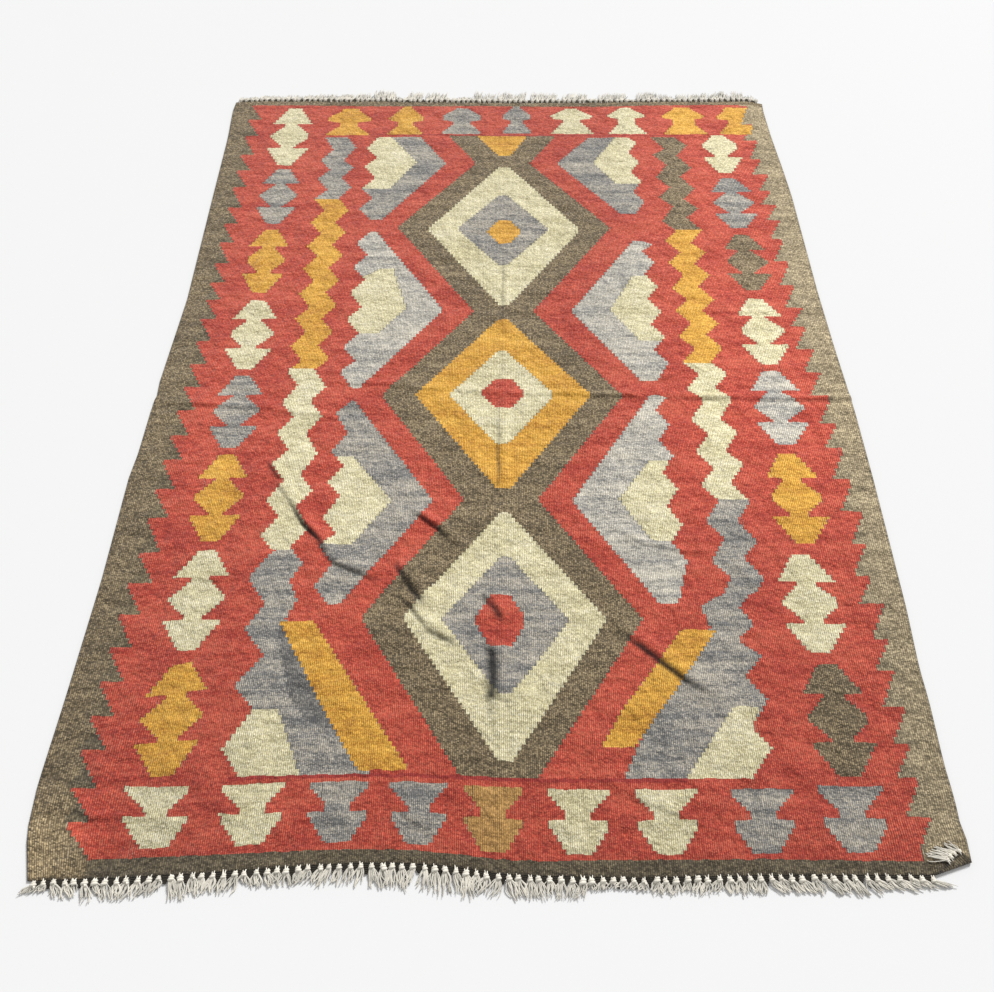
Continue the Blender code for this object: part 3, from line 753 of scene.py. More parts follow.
def weave_material(name, colour, sizes):
    """One wool as woven: warp ribs with the weft beaten over them, slits, bands of dye and mixed fibres."""
    dye = DYES[name]
    material, tree, shader = start_material(name + "_wool", WOOL_ROUGHNESS)
    woven = add_node(tree, "ShaderNodeAttribute", {"attribute_name": "woven"}, []).outputs["Vector"]
    apart = add_node(tree, "ShaderNodeSeparateXYZ", {}, [woven])
    across = Sum(tree, apart.outputs[0])
    along = Sum(tree, apart.outputs[1])
    edge = Sum(tree, add_node(tree, "ShaderNodeAttribute", {"attribute_name": "slit"}, []).outputs["Fac"])
    crease = Sum(tree, add_node(tree, "ShaderNodeAttribute", {"attribute_name": "crease"}, []).outputs["Fac"])

    wander = noise_at(tree, woven, *WANDER) - 0.5
    waver = noise_at(tree, woven, *WAVER) - 0.5
    rib_place = (across + wander * RIB_STRAY + waver * RIB_STRAY) / RIB
    rib = (rib_place * math.pi).sine().size()
    rib_number = rib_place.whole()
    shift = rib_number.rest_after(2.0) * 0.5
    beat_place = along / (2.0 * WEFT) + shift + wander * 0.8
    beat = (beat_place * math.pi).sine().size()
    fibres = noise_at(tree, place_of(tree, across, along * 1.6), *FIBRES)
    grain = noise_at(tree, place_of(tree, across, along * 0.4), *GRAIN) - 0.5
    mottle = noise_at(tree, woven, *MOTTLE) - 0.5
    ripple = noise_at(tree, woven, *RIPPLE) - 0.5
    clear = (ripple * 2.5 + mottle * 1.5 + 0.55).held()
    from_line = ((across / STEP + COLUMNS * 0.5 + 0.5).rest_after(1.0) - 0.5).size() * STEP
    parted = ((edge - 0.46) * 30.0).held()
    slit = ((1.0 - from_line / (sizes.slit * 0.5)).held() ** 0.5) * parted * (0.55 + 3.0 * waver).held()
    stitch = scatter_at(tree, place_of(tree, rib_number, beat_place.whole()))
    thread = noise_at(tree, place_of(tree, across * 55.0, along * 480.0), *THREADS)
    fleck = (1.0 - from_line / (sizes.slit * 0.9)).held() * parted * ((stitch - 0.66) * 5.0).held()

    height = (rib ** 0.6) * sizes.rib_depth * (0.5 + 0.6 * stitch) * (0.35 + 0.65 * clear)
    height = height + beat * rib * sizes.weft_depth + fibres * FIBRE_DEPTH + grain * sizes.fuzz
    height = height + mottle * MOTTLE_DEPTH + ripple * sizes.cockle - slit * SLIT_DEPTH
    bump = add_node(tree, "ShaderNodeBump", {}, {"Strength": 1.0, "Distance": 1.0, "Height": height})
    tree.links.new(bump.outputs[0], shader.inputs["Normal"])

    band = noise_at(tree, place_of(tree, across * 3.0, along * 55.0), *BANDS)
    patch = noise_at(tree, place_of(tree, across * 11.0, along * 16.0), *PATCHES)
    tone = (band - 0.5) * 2.2 * dye.abrash + (patch - 0.5) * 1.6 * dye.patch + mottle * 0.5
    tone = tone + (thread - 0.5) * 1.3 * dye.thread + (stitch - 0.5) * 0.75 * dye.stitch
    tone = (tone + 0.5).held()
    deep = tuple(part * share for part, share in zip(colour, dye.deep))
    pale = tuple(min(1.0, part * share) for part, share in zip(colour, dye.pale))
    base = mixed(tree, (tone * 2.0).held(), deep, colour)
    base = mixed(tree, (tone * 2.0 - 1.0).held(), base, pale)
    base = mixed(tree, fleck * 0.7, base, WARP_FLECK)
    # Painted shade in the valleys between the warp ribs and in the dips between rows of weft.
    shade = (0.88 + (rib - 2.0 / math.pi) * (0.22 + 0.34 * clear) * dye.rib) * (0.90 + 0.10 * beat)
    shade = shade * (1.0 - slit * 0.85) * (0.86 + 0.28 * fibres) * (1.0 + grain * 2.4) * (1.0 + mottle * 0.7)
    # Painted shade on the steep near sides of the folds.
    shade = shade * (1.0 - (crease * (0.45 + 0.70 * patch)).held() * 0.9)
    # Painted shade along the rim, where the selvedge's side is shadowed.
    rim = ((across.size() - 0.5 * WIDTH + RIM_SHADE_WIDTH) / RIM_SHADE_WIDTH).held()
    # Darker towards the near end, lighter on the right in the far half and at the near left corner, and
    # darker along the near part of the left side.
    lightness_gradient = NEAR_LIGHTNESS + (1.0 - NEAR_LIGHTNESS) * (along / LIGHTNESS_LENGTH).held() ** 0.7
    lightness_gradient = lightness_gradient + RIGHT_LIGHTENING * ((across - 0.2) * 5.0).held() * ((along - 0.5) * 4.0).held()
    lightness_gradient = lightness_gradient + CORNER_LIGHTENING * (across * -12.0 - 6.0).held() * (1.7 - along * 12.0).held()
    lightness_gradient = lightness_gradient - LEFT_DARKENING * (across * -12.0 - 3.8).held() * (3.7 - along * 5.0).held()
    # The near edge darker: partly the dark wool of the last wefts, partly painted shade where it meets the
    # knots.
    frayed = (1.0 - along / LAST_WEFTS_AND_SHADE_REACH - grain * 4.0).held()
    base = shaded(tree, base, shade * (1.0 - RIM_SHADE * rim) * (1.0 - LAST_WEFTS_AND_SHADE_DARK * frayed) * lightness_gradient)
    tree.links.new(base, shader.inputs["Base Color"])
    return material


def yarn_material(name, colour, darkening):
    """Loose fringe yarn: fine fibres along it, grubby in places."""
    material, tree, shader = start_material(name, YARN_ROUGHNESS)
    place = add_node(tree, "ShaderNodeTexCoord", {}, []).outputs["Object"]
    grime = noise_at(tree, place, *GRIME)
    fine = noise_at(tree, place, *YARN_FIBRES)
    shade = (1.0 - darkening) + darkening * ((grime - 0.3) * 2.2).held()
    shade = shade * (0.80 + 0.40 * fine)
    base = shaded(tree, colour, shade)
    tree.links.new(base, shader.inputs["Base Color"])
    relief = {"Strength": 0.6, "Distance": YARN_FIBRE_DEPTH, "Height": fine}
    bump = add_node(tree, "ShaderNodeBump", {}, relief)
    tree.links.new(bump.outputs[0], shader.inputs["Normal"])
    return material


# ----------------------------------------------------------------------------------------------------------
# The chart's shapes.


def across_band(yarn, low, high, left=-0.5 * WIDTH, right=0.5 * WIDTH):
    return Area(yarn, [(left, low), (right, low), (right, high), (left, high)])


def tooth_gaps(border):
    """Each gap between two red teeth, as its foot, its rise, its root and the tip of the tooth above it."""
    gaps = []
    for (foot, _), (height, tip) in zip(border.teeth, border.teeth[1:]):
        gaps.append((foot, height - foot, tip - border.depth, tip))
    return gaps


def border_area(border):
    """A brown side border. Each red tooth is flat above and slants back to its root below."""
    height, tip = border.teeth[0]
    outline = [(0.5 * WIDTH, 0.0), (border.foot[0], 0.0), border.foot]
    outline += [(tip, height - 0.004), (tip, height)]
    for foot, rise, root, tip in tooth_gaps(border):
        outline += [(root, foot + 0.001), (root, foot + border.blunt * rise)]
        outline += [(tip, foot + TOOTH_FULL * rise), (tip, foot + rise)]
    height, tip = border.teeth[-1]
    outline += [(tip - border.depth, height + 0.001), (tip - border.depth, LENGTH)]
    outline.append((0.5 * WIDTH, LENGTH))
    return Area(border.yarn, [(border.side * u, v) for u, v in outline])


def notch_areas(border):
    """The darker brown between the teeth."""
    areas = []
    share = (NOTCH_SLANT - border.blunt) / (TOOTH_FULL - border.blunt)
    for foot, rise, root, tip in tooth_gaps(border):
        outline = [
            (root, foot),
            (tip + 0.006, foot),
            (tip + 0.002, foot + 0.3 * NOTCH_SLANT * rise),
            (root + share * (tip - root), foot + NOTCH_SLANT * rise),
            (root, foot + border.blunt * rise),
        ]
        yarn = border.low_notch if foot < LOW_NOTCHES else border.notch
        areas.append(Area(yarn, [(border.side * u, v) for u, v in outline]))
    return areas


def figure_area(motif, levels, high=LENGTH):
    """An upright figure. It may lean, and its right side may stand higher than its left."""
    rise = motif.head - motif.foot
    left, right = [], []
    for share, half in levels:
        middle = motif.at + motif.lean * share
        height = motif.foot + share * rise
        wide = half * motif.scale
        slant = 0.5 * motif.tilt * share * wide / 0.04
        left.insert(0, (middle - wide, height - slant))
        right.append((middle + wide, height + slant))
    return Area(motif.yarn, right + left, high=high)


def tree_area(tree):
    halves = (tree.half, tree.neck, tree.neck, 0.94 * tree.half, tree.half, tree.top, 0.9 * tree.top)
    side = [(tree.half, tree.heights[0]), (0.97 * tree.half, tree.heights[0] + TREE_FOOT)]
    side += zip(halves[1:], tree.heights[1:])
    right = [(tree.at + half, height) for half, height in side]
    left = [(tree.at - half, height) for half, height in reversed(side)]
    return Area(tree.yarn, right + left)


def lattice_area():
    left = [(waist.left, waist.height) for waist in LATTICE]
    right = [(waist.right, waist.height) for waist in reversed(LATTICE)]
    return Area("walnut", left + right, FIELD_FOOT, FIELD_HEAD)


def diamond_area(diamond):
    middle = 0.5 * (diamond.left + diamond.right)
    outline = [
        (middle - diamond.tip, diamond.foot),
        (middle + diamond.tip, diamond.foot),
        (diamond.right, diamond.waist - DIAMOND_BLUNT),
        (diamond.right, diamond.waist + DIAMOND_BLUNT),
        (middle + diamond.top, diamond.head),
        (middle - diamond.top, diamond.head),
        (diamond.left, diamond.waist + DIAMOND_BLUNT),
        (diamond.left, diamond.waist - DIAMOND_BLUNT),
    ]
    return Area(diamond.yarn, outline)


def chevron_area(chevron):
    back = math.copysign(CHEVRON_BACK, chevron.tip)
    outline = [
        (back, chevron.foot),
        (chevron.foot_end, chevron.foot),
        (chevron.tip, chevron.tip_height),
        (chevron.head_end, chevron.head),
        (back, chevron.head),
    ]
    return Area(chevron.yarn, outline)


def hooked_area(hooks):
    """The red edge behind a pair of chevrons: its far side is hooked, tips at the odd heights."""
    back = math.copysign(CHEVRON_BACK + STEP, hooks.tip)
    outline = [(back, hooks.heights[0])]
    for i, height in enumerate(hooks.heights):
        outline.append((hooks.tip if i % 2 else hooks.notch, height))
    outline.append((back, hooks.heights[-1]))
    return Area("brick", outline)


def zigzag_edge(zigzag, heights, half):
    """One edge of a zigzag's band, half its width from its middle."""
    points = []
    for i, height in enumerate(heights):
        share = (height - heights[0]) / (heights[-1] - heights[0])
        middle = zigzag.low_at + (zigzag.high_at - zigzag.low_at) * share
        points.append((middle + half + (zigzag.swing if i % 2 == 0 else -zigzag.swing), height))
    return points


def zigzag_areas(zigzag):
    """One band that swings from side to side, in its runs of colour."""
    outline = zigzag_edge(zigzag, zigzag.left, -zigzag.half)
    outline += zigzag_edge(zigzag, zigzag.right, zigzag.half)[::-1]
    return [Area(run.yarn, outline, run.low, run.high) for run in zigzag.colours]


def chart_areas():
    """Every coloured area, from the ground up: a later one covers an earlier one."""
    areas = [border_area(border) for border in BORDERS]
    for border in BORDERS:
        areas += notch_areas(border)
    areas.append(lattice_area())
    areas += [chevron_area(chevron) for chevron in CHEVRONS]
    areas.append(CHEVRON_CORNER)
    areas += [hooked_area(hooks) for hooks in HOOKS]
    for zigzag in ZIGZAGS:
        areas += zigzag_areas(zigzag)
    areas += NEAR_BLOCKS
    areas += [figure_area(motif, FIGURE) for motif in FIGURES[:-1]]
    areas.append(figure_area(FIGURES[-1], FIGURE, TOP_OF_LAST_FIGURE))
    areas += [diamond_area(diamond) for diamond in DIAMONDS]
    areas.append(TOP_DIAMOND)
    areas.append(across_band("madder", FIELD_FOOT - LINE_DEPTH, FIELD_FOOT, -0.365, 0.260))
    areas += [figure_area(motif, CUP) for motif in CUPS]
    areas.append(across_band("madder", FIELD_HEAD, FIELD_HEAD + 0.7 * LINE_DEPTH, -0.395, 0.440))
    areas += [tree_area(tree) for tree in TREES]
    areas += [BESIDE_HALF_TREE, HALF_TREE]
    areas.append(Area("umber", [(-0.6, -0.02), (0.6, -0.02)] + NEAR_BAND))
    areas.append(across_band("walnut", -0.02, 0.03, right=-0.527))
    areas.append(Area("walnut", [(0.6, LENGTH + 0.02), (-0.6, LENGTH + 0.02)] + FAR_BAND))
    return areas


def crossings(outline, u, unevenness):
    """The heights where an outline crosses one column, each a little off, as a weaver's are."""
    found = []
    for (u0, v0), (u1, v1) in zip(outline, outline[1:] + outline[:1]):
        if (u0 <= u) == (u1 <= u):
            continue
        height = v0 + (v1 - v0) * (u - u0) / (u1 - u0)
        sway = noise.noise(Vector((u * 60.0, height * 45.0, v0 * 3.0)))
        found.append(height + sway * unevenness)
    return sorted(found)


def chart_column(areas, u, unevenness):
    """The yarn of each row of weft in one column."""
    rows = ["brick"] * ROWS
    for area in areas:
        heights = crossings(area.outline, u, unevenness)
        for low, high in zip(heights[::2], heights[1::2]):
            first = max(0, round(max(low, area.low) / WEFT))
            last = min(ROWS, round(min(high, area.high) / WEFT))
            if last > first:
                rows[first:last] = [area.yarn] * (last - first)
    return rows


def column_runs(rows):
    """A column's stretches of one yarn, as (first row, yarn), with the shortest taken into the one before."""
    runs = [(0, rows[0])]
    for i in range(1, ROWS):
        if rows[i] == runs[-1][1]:
            continue
        if i - runs[-1][0] < SHORTEST_RUN and len(runs) > 1:
            runs.pop()
        if rows[i] != runs[-1][1]:
            runs.append((i, rows[i]))
    return runs


# ----------------------------------------------------------------------------------------------------------
# The cloth's shape.


def read_offset(table, at):
    """The amount at one place along an edge, on a straight line between the table's rows."""
    for (low, low_amount), (high, high_amount) in zip(table, table[1:]):
        if at <= high:
            share = max(0.0, (at - low) / (high - low))
            return low_amount + share * (high_amount - low_amount)
    return table[-1][1]


def lay_out(u, v):
    """Where a point of the true woven rectangle lies on the floor: u across it, v from its near end."""
    left = read_offset(LEFT_BULGE, v)
    right = read_offset(RIGHT_BULGE, v)
    inner = 0.5 * WIDTH - SIDE_ZONE
    x = u + right * max(0.0, (u - inner) / SIDE_ZONE) - left * max(0.0, (-u - inner) / SIDE_ZONE)
    near = read_offset(NEAR_BOW, u) * math.exp(-v / BOW_FADE)
    far = read_offset(FAR_BOW, u) * math.exp(-(LENGTH - v) / BOW_FADE)
    return Vector((x, NEAR_END + v + near + far))


def crest_near(points, place):
    """How far a place is from a line of crest points, which side of it the place is on (-1 is the near side),
    and the height of the line there."""
    best = (math.inf, 0.0, 0.0)
    for (x0, y0, height0), (x1, y1, height1) in zip(points, points[1:]):
        start = Vector((x0, NEAR_END + y0))
        run = Vector((x1 - x0, y1 - y0))
        share = min(1.0, max(0.0, (place - start).dot(run) / run.length_squared))
        apart = place - start - run * share
        side = math.copysign(1.0, apart.y + 0.35 * apart.x)
        best = min(best, (apart.length, side, height0 + share * (height1 - height0)))
    return best


def ridge_reach(ridge):
    """The box that a ridge lies in, on the floor."""
    xs = [x for x, y, height in ridge.points]
    ys = [NEAR_END + y for x, y, height in ridge.points]
    wide = ridge.half_width + FOLD_WANDER
    return min(xs) - wide, max(xs) + wide, min(ys) - wide, max(ys) + wide


RIDGE_REACHES = [ridge_reach(ridge) for ridge in RIDGES]


def fold_shape(place):
    """How far the folds raise the cloth at a place, and how much painted shade their steep near sides put
    there.
    """
    highest, deepest_shade = 0.0, 0.0
    for ridge, (left, right, low, high) in zip(RIDGES, RIDGE_REACHES):
        if left <= place.x <= right and low <= place.y <= high:
            sway = [noise.noise(Vector((place.x * 16.0, place.y * 16.0, level))) for level in (2.0, 5.0)]
            distance, side, height = crest_near(ridge.points, place + Vector(sway) * FOLD_WANDER)
            height *= 0.85 + 0.75 * noise.noise(Vector((place.x * 13.0, place.y * 13.0, 7.0)))
            wide = ridge.half_width * (STEEP_SHARE if side < 0.0 else 1.0)
            share = min(1.0, distance / wide)
            highest = max(highest, FOLD_RISE * height * (1.0 - share * share) ** 2)
            # Painted shade on the steep near side, which faces away from the lamp, where a fold's shadow
            # falls.
            if side < 0.0:
                off = abs(distance / wide - CREASE_SHADE_AT) / CREASE_SHADE_SPREAD
                depth = (1.0 - min(1.0, off)) * min(1.0, max(0.0, height - CREASE_SHADE_FROM) / CREASE_SHADE_FULL)
                deepest_shade = max(deepest_shade, ridge.crease * depth)
    return highest, deepest_shade


def lift(place):
    """How far the cloth stands off the floor at a place: its folds, and a slight swell."""
    swell = noise.noise(Vector((place.x * 9.0, place.y * 9.0, 4.0)))
    swell += 0.5 * noise.noise(Vector((place.x * 24.0, place.y * 24.0, 9.0)))
    inland = min(1.0, max(0.0, 0.5 * WIDTH - abs(place.x)) / SWELL_EDGE)
    return fold_shape(place)[0] + SWELL * inland * max(0.0, swell)


def turn_line():
    """The line that the corner is turned over about: its start, direction, outward side and length."""
    start = Vector((TURN_START[0], NEAR_END + TURN_START[1]))
    end = Vector((TURN_END[0], NEAR_END + TURN_END[1]))
    along = (end - start).normalized()
    outward = Vector((along.y, -along.x))
    return Turn(start, along, outward, (end - start).length)


TURN = turn_line()


def bend(point):
    """Takes a point of the flat slab to its place on the folded cloth."""
    place = point.xy
    past = (place - TURN.start).dot(TURN.outward)
    if past <= 0.0:
        return Vector((point.x, point.y, point.z + lift(place)))
    offset = point.z - 0.5 * THICKNESS
    foot = place - TURN.outward * past
    angle = min(math.pi, past / TURN_RADIUS)
    reach = (TURN_RADIUS - offset) * math.sin(angle) - max(0.0, past - math.pi * TURN_RADIUS)
    height = 0.5 * THICKNESS + TURN_RADIUS - (TURN_RADIUS - offset) * math.cos(angle)
    over = foot + TURN.outward * reach
    return Vector((over.x, over.y, height))


def base_rows(u):
    """The rows where one column has points whatever its colours: few where it is flat, many on a fold."""
    rows = set(range(0, ROWS, FLAT_GAP)) | {ROWS}
    for row in range(0, ROWS, FOLD_GAP):
        if max(fold_shape(lay_out(u, row * WEFT))) > LEAST_FOLD:
            rows |= {max(0, row - FOLD_GAP), row, min(ROWS, row + FOLD_GAP)}
    return rows


def line_places():
    """Where the mesh's lines lie across the rug, in column steps, with twice as many in the fine zones."""
    places = []
    for i in range(COLUMNS):
        places.append(float(i))
        middle = (i + 0.5) * STEP - 0.5 * WIDTH
        if any(low < middle < high for low, high in FINE_ZONES):
            places.append(i + 0.5)
    return places + [float(COLUMNS)]


def woven_net(unevenness):
    """The flat cloth: its points with how much of a slit each is on, and its faces with their yarns."""
    areas = chart_areas()
    chart = []
    for i in range(COLUMNS):
        chart.append(column_runs(chart_column(areas, (i + 0.5) * STEP - 0.5 * WIDTH, unevenness)))
    places = line_places()
    runs = [chart[int(place)] for place in places[:-1]]
    stops = []
    for low, high, column in zip(places, places[1:], runs):
        u = 0.5 * (low + high) * STEP - 0.5 * WIDTH
        stops.append(sorted({row for row, yarn in column} | base_rows(u)))
    lines = []
    for i in range(len(places)):
        lines.append(sorted(set(stops[max(0, i - 1)] + stops[min(len(stops) - 1, i)])))
    points, slits, firsts = [], [], []
    for i, (place, line) in enumerate(zip(places, lines)):
        firsts.append(len(points))
        points += [(place * STEP - 0.5 * WIDTH, row * WEFT, 0.0) for row in line]
        slits += slit_shares(line, runs[i - 1], runs[i]) if 0 < i < len(runs) else [0.0] * len(line)
    faces, yarns = [], []
    for i, column in enumerate(runs):
        for low, high in zip(stops[i], stops[i][1:]):
            corners = []
            for line, turn in ((i + 1, 1), (i, -1)):
                first = bisect.bisect_left(lines[line], low)
                last = bisect.bisect_left(lines[line], high)
                corners += [firsts[line] + k for k in range(first, last + 1)][::turn]
            faces.append(corners)
            yarns.append(yarn_of(column, low))
    return points, slits, faces, yarns


def yarn_of(column, row):
    """The yarn of one row in a column's runs."""
    starts = [first for first, yarn in column]
    return column[bisect.bisect_right(starts, row) - 1][1]


def slit_shares(line, left, right):
    """For each point of a line: half for each stretch of the line beside it that parts two colours. Two lots
    of one colour are woven together without a slit."""
    parted = []
    for low in line[:-1]:
        beside = {yarn_of(left, low), yarn_of(right, low)}
        parted.append(len(beside) == 2 and not any(beside <= lots for lots in LOTS))
    return [0.5 * below + 0.5 * above for below, above in zip([False] + parted, parted + [False])]


def cut_turn(cloth):
    """Cuts the stretch of cloth that goes round the turned-over corner's fold."""
    for step in range(TURN_STEPS + 1):
        line = TURN.start + TURN.outward * math.pi * TURN_RADIUS * step / TURN_STEPS
        faces = []
        for face in cloth.faces:
            middle = face.calc_center_median().xy - TURN.start
            beside = abs(middle.dot(TURN.outward)) <= TURN_CUT_REACH
            if beside and -TURN_CUT_REACH <= middle.dot(TURN.along) <= TURN.length + TURN_CUT_REACH:
                faces.append(face)
        edges = dict.fromkeys(edge for face in faces for edge in face.edges)
        verts = dict.fromkeys(vert for face in faces for vert in face.verts)
        bmesh.ops.bisect_plane(
            cloth,
            geom=faces + list(edges) + list(verts),
            dist=TURN_SNAP,
            plane_co=(line.x, line.y, 0.0),
            plane_no=(TURN.outward.x, TURN.outward.y, 0.0),
        )


def round_selvedge(cloth):
    """Gives the cloth's rim a soft middle, as packed wefts have where they turn back."""
    upright = []
    for edge in cloth.edges:
        low, high = sorted(vert.co.z for vert in edge.verts)
        if high - low > 0.5 * THICKNESS:
            upright.append(edge)
    upright.sort(key=lambda edge: tuple(edge.verts[0].co.xy))
    middle = bmesh.ops.subdivide_edges(cloth, edges=upright, cuts=1)["geom_inner"]
    for item in middle:
        if isinstance(item, bmesh.types.BMVert):
            out = sum((face.normal for face in item.link_faces), Vector())
            item.co += Vector((out.x, out.y, 0.0)).normalized() * RIM_SWELL


def build_cloth_mesh(yarn_order, unevenness):
    """The closed sheet, its faces marked with their yarn and its points with their woven place."""
    points, slits, faces, yarns = woven_net(unevenness)
    flat = bpy.data.meshes.new("kilim_sheet")
    flat.from_pydata(points, [], faces)
    flat.attributes.new("slit", "FLOAT", "POINT").data.foreach_set("value", slits)
    woven = [part for point in points for part in point]
    flat.attributes.new("woven", "FLOAT_VECTOR", "POINT").data.foreach_set("vector", woven)
    # Each point's painted shade from the folds, which the wool's material reads.
    crease_shades = [fold_shape(lay_out(point[0], point[1]))[1] for point in points]
    flat.attributes.new("crease", "FLOAT", "POINT").data.foreach_set("value", crease_shades)
    flat.polygons.foreach_set("material_index", [yarn_order.index(yarn) for yarn in yarns])
    cloth = bmesh.new()
    cloth.from_mesh(flat)
    for vert in cloth.verts:
        vert.co.xy = lay_out(vert.co.x, vert.co.y)
    cut_turn(cloth)
    grown = bmesh.ops.extrude_face_region(cloth, geom=cloth.faces[:])
    for item in grown["geom"]:
        if isinstance(item, bmesh.types.BMVert):
            item.co.z = THICKNESS
    bmesh.ops.recalc_face_normals(cloth, faces=cloth.faces[:])
    round_selvedge(cloth)
    for vert in cloth.verts:
        vert.co = bend(vert.co)
    cloth.to_mesh(flat)
    cloth.free()
    return flat


def link_piece(name, mesh):
    piece = bpy.data.objects.new(name, mesh)
    bpy.context.scene.collection.objects.link(piece)
    return piece


def select_only(piece):
    bpy.ops.object.select_all(action="DESELECT")
    piece.select_set(True)
    bpy.context.view_layer.objects.active = piece


# ----------------------------------------------------------------------------------------------------------
# The fringes' shape.


def place_locks(tufts, low, high, count):
    """Evenly spaced locks with the reach and lean of their tufts."""
    locks = []
    for i in range(count):
        at = low + (high - low) * i / (count - 1)
        reach, lean = [tuft[1:] for tuft in tufts if tuft[0] <= at][-1]
        if locks:
            lean = max(lean, locks[-1].lean - MOST_CLOSING)
        locks.append(Lock(at, reach, lean))
    return locks


def add_yarn(curve, points, radii, slot):
    """One yarn as a spline through its points."""
    spline = curve.splines.new("POLY")
    spline.points.add(len(points) - 1)
    for target, point, radius in zip(spline.points, points, radii):
        target.co = (point.x, point.y, point.z, 1.0)
        target.radius = radius
    spline.material_index = slot
    spline.use_smooth = True


def raised(place, height):
    return Vector((place.x, place.y, height))


def add_legs(curve, knot, root, row, size, height, draw):
    """The two pairs of warps that leave the cloth's face and gather into the knot. Some hardly show."""
    for side in (-1.0, 1.0):
        back = LEG_START * draw.choice((-0.6, 0.5, 1.2))
        spread = LEG_SPREAD * size * draw.uniform(0.7, 1.15)
        start = root + row.side * side * spread + row.outward * back
        middle = root + row.side * side * spread * 0.7 + row.outward * 0.0008
        points = [
            raised(start, row.floor + THICKNESS - 0.0006),
            raised(middle, row.floor + THICKNESS + 0.0005),
            raised(knot + row.side * side * 0.0009, height + 0.0006),
        ]
        thick = draw.uniform(0.8, 1.3)
        add_yarn(curve, points, [0.8 * thick, 1.1 * thick, 1.5 * thick], KNOT_SLOT)


def add_knot(curve, knot, row, size, height, draw):
    """A thick doubled yarn wound round the gathered warps, slimmer towards the cloth."""
    points = []
    start = draw.uniform(0.0, math.tau)
    tilt = draw.uniform(-0.35, 0.35)
    for i in range(KNOT_POINTS):
        share = i / (KNOT_POINTS - 1)
        turn = start + share * KNOT_TURNS * math.tau
        wide = KNOT_RADIUS * size * (0.62 + 0.38 * share) * math.sin(math.pi * (0.16 + 0.66 * share)) ** 0.5
        out = (share - 0.58) * KNOT_RISE * size
        place = knot + row.side * (math.cos(turn) * wide + out * tilt) + row.outward * out
        points.append(raised(place, height + math.sin(turn) * wide * 0.6))
    radii = [KNOT_YARN * size * (0.75 + 0.25 * i / KNOT_POINTS) for i in range(KNOT_POINTS)]
    add_yarn(curve, points, radii, KNOT_SLOT)


def add_tail(curve, knot, lock, row, height, share, old, draw):
    """One frayed yarn from the knot to its tip. share runs from -1 to 1 over the lock's yarns."""
    reach = lock.reach - KNOT_OUT * row.scale
    # The dark yarns, painted shade between the strands, are shorter and thinner and lie lowest.
    reach *= draw.uniform(0.45, 0.85) if old else draw.uniform(0.66, 1.03)
    spread = share * TAIL_SPREAD * row.scale * draw.uniform(0.7, 1.3)
    curl = draw.uniform(-1.0, 1.0) * CURL * 1.5
    phase = draw.uniform(0.0, math.tau)
    thick = draw.choice((0.7, 1.0)) if old else draw.choice((0.9, 1.3, 1.7))
    rest = row.floor + (0.0010 if old else draw.uniform(0.0014, 0.0023))
    points, radii = [], []
    for i in range(TAIL_POINTS):
        way = i / (TAIL_POINTS - 1)
        fan = math.sin(0.5 * math.pi * min(1.0, way * 1.7))
        sway = math.sin(phase + way * 5.0) * CURL * way + curl * way * way
        across = share * 0.0014 * (1.0 - way) + spread * fan + lock.lean * way + sway
        place = knot + row.side * across + row.outward * reach * way
        drop = (1.0 - way) ** 2
        lumps = 0.0005 * math.sin(phase * 2.0 + way * 9.0)
        points.append(raised(place, rest + (height - rest) * drop + lumps * way))
        radii.append(thick * (1.0 - 0.45 * way ** 3))
    add_yarn(curve, points, radii, SHADE_YARN_SLOT if old else LOOSE_SLOT)


def add_lock(curve, lock, root, row, draw):
    """One lock: its legs, its knot and its frayed yarns."""
    size = row.scale * draw.uniform(0.84, 1.16)
    root = root + row.side * draw.uniform(-KNOT_ALONG, KNOT_ALONG) * row.scale
    knot = root + row.outward * (KNOT_OUT + draw.uniform(-KNOT_ACROSS, KNOT_ACROSS)) * row.scale
    height = row.floor + KNOT_HEIGHT * row.scale + KNOT_CLEARANCE
    add_legs(curve, knot, root, row, size, height, draw)
    add_knot(curve, knot, row, size, height, draw)
    lean = lock.lean + draw.uniform(-STRAY, STRAY)
    lock = lock._replace(lean=lean, reach=lock.reach * draw.uniform(0.82, 1.0))
    # The dark yarns, painted shade between the strands, and then the loose yarns.
    for count, old in ((row.old_yarns, True), (row.yarns, False)):
        for i in range(count):
            share = -1.0 + 2.0 * (i + draw.uniform(0.2, 0.8)) / count
            add_tail(curve, knot, lock, row, height, share, old, draw)


def add_pads(curve, locks, edge_place, row, draw):
    """The cloth's last brown wefts, which swell out between the knots in shorter and shorter turns."""
    for lock, following in zip(locks, locks[1:]):
        wide = draw.uniform(0.75, 1.15)
        for i in range(PAD_ROWS):
            points = []
            for share in (-1.0, -0.5, 0.0, 0.5, 1.0):
                middle = 0.5 + 0.5 * share * (0.86 - 0.14 * i)
                edge = edge_place(lock.at + (following.at - lock.at) * middle)
                out = PAD_START + i * PAD_STEP * wide + PAD_SWELL * (1.0 - share * share)
                points.append(raised(edge + row.outward * out * row.scale, row.floor + PAD_RADIUS))
            thick = PAD_RADIUS * row.scale * draw.uniform(0.85, 1.1) / bpy.context.scene.kilim_sizes.yarn
            radii = [0.6 * thick, 0.95 * thick, thick, 0.95 * thick, 0.6 * thick]
            add_yarn(curve, points, radii, WEFT_AND_SHADE_SLOT)


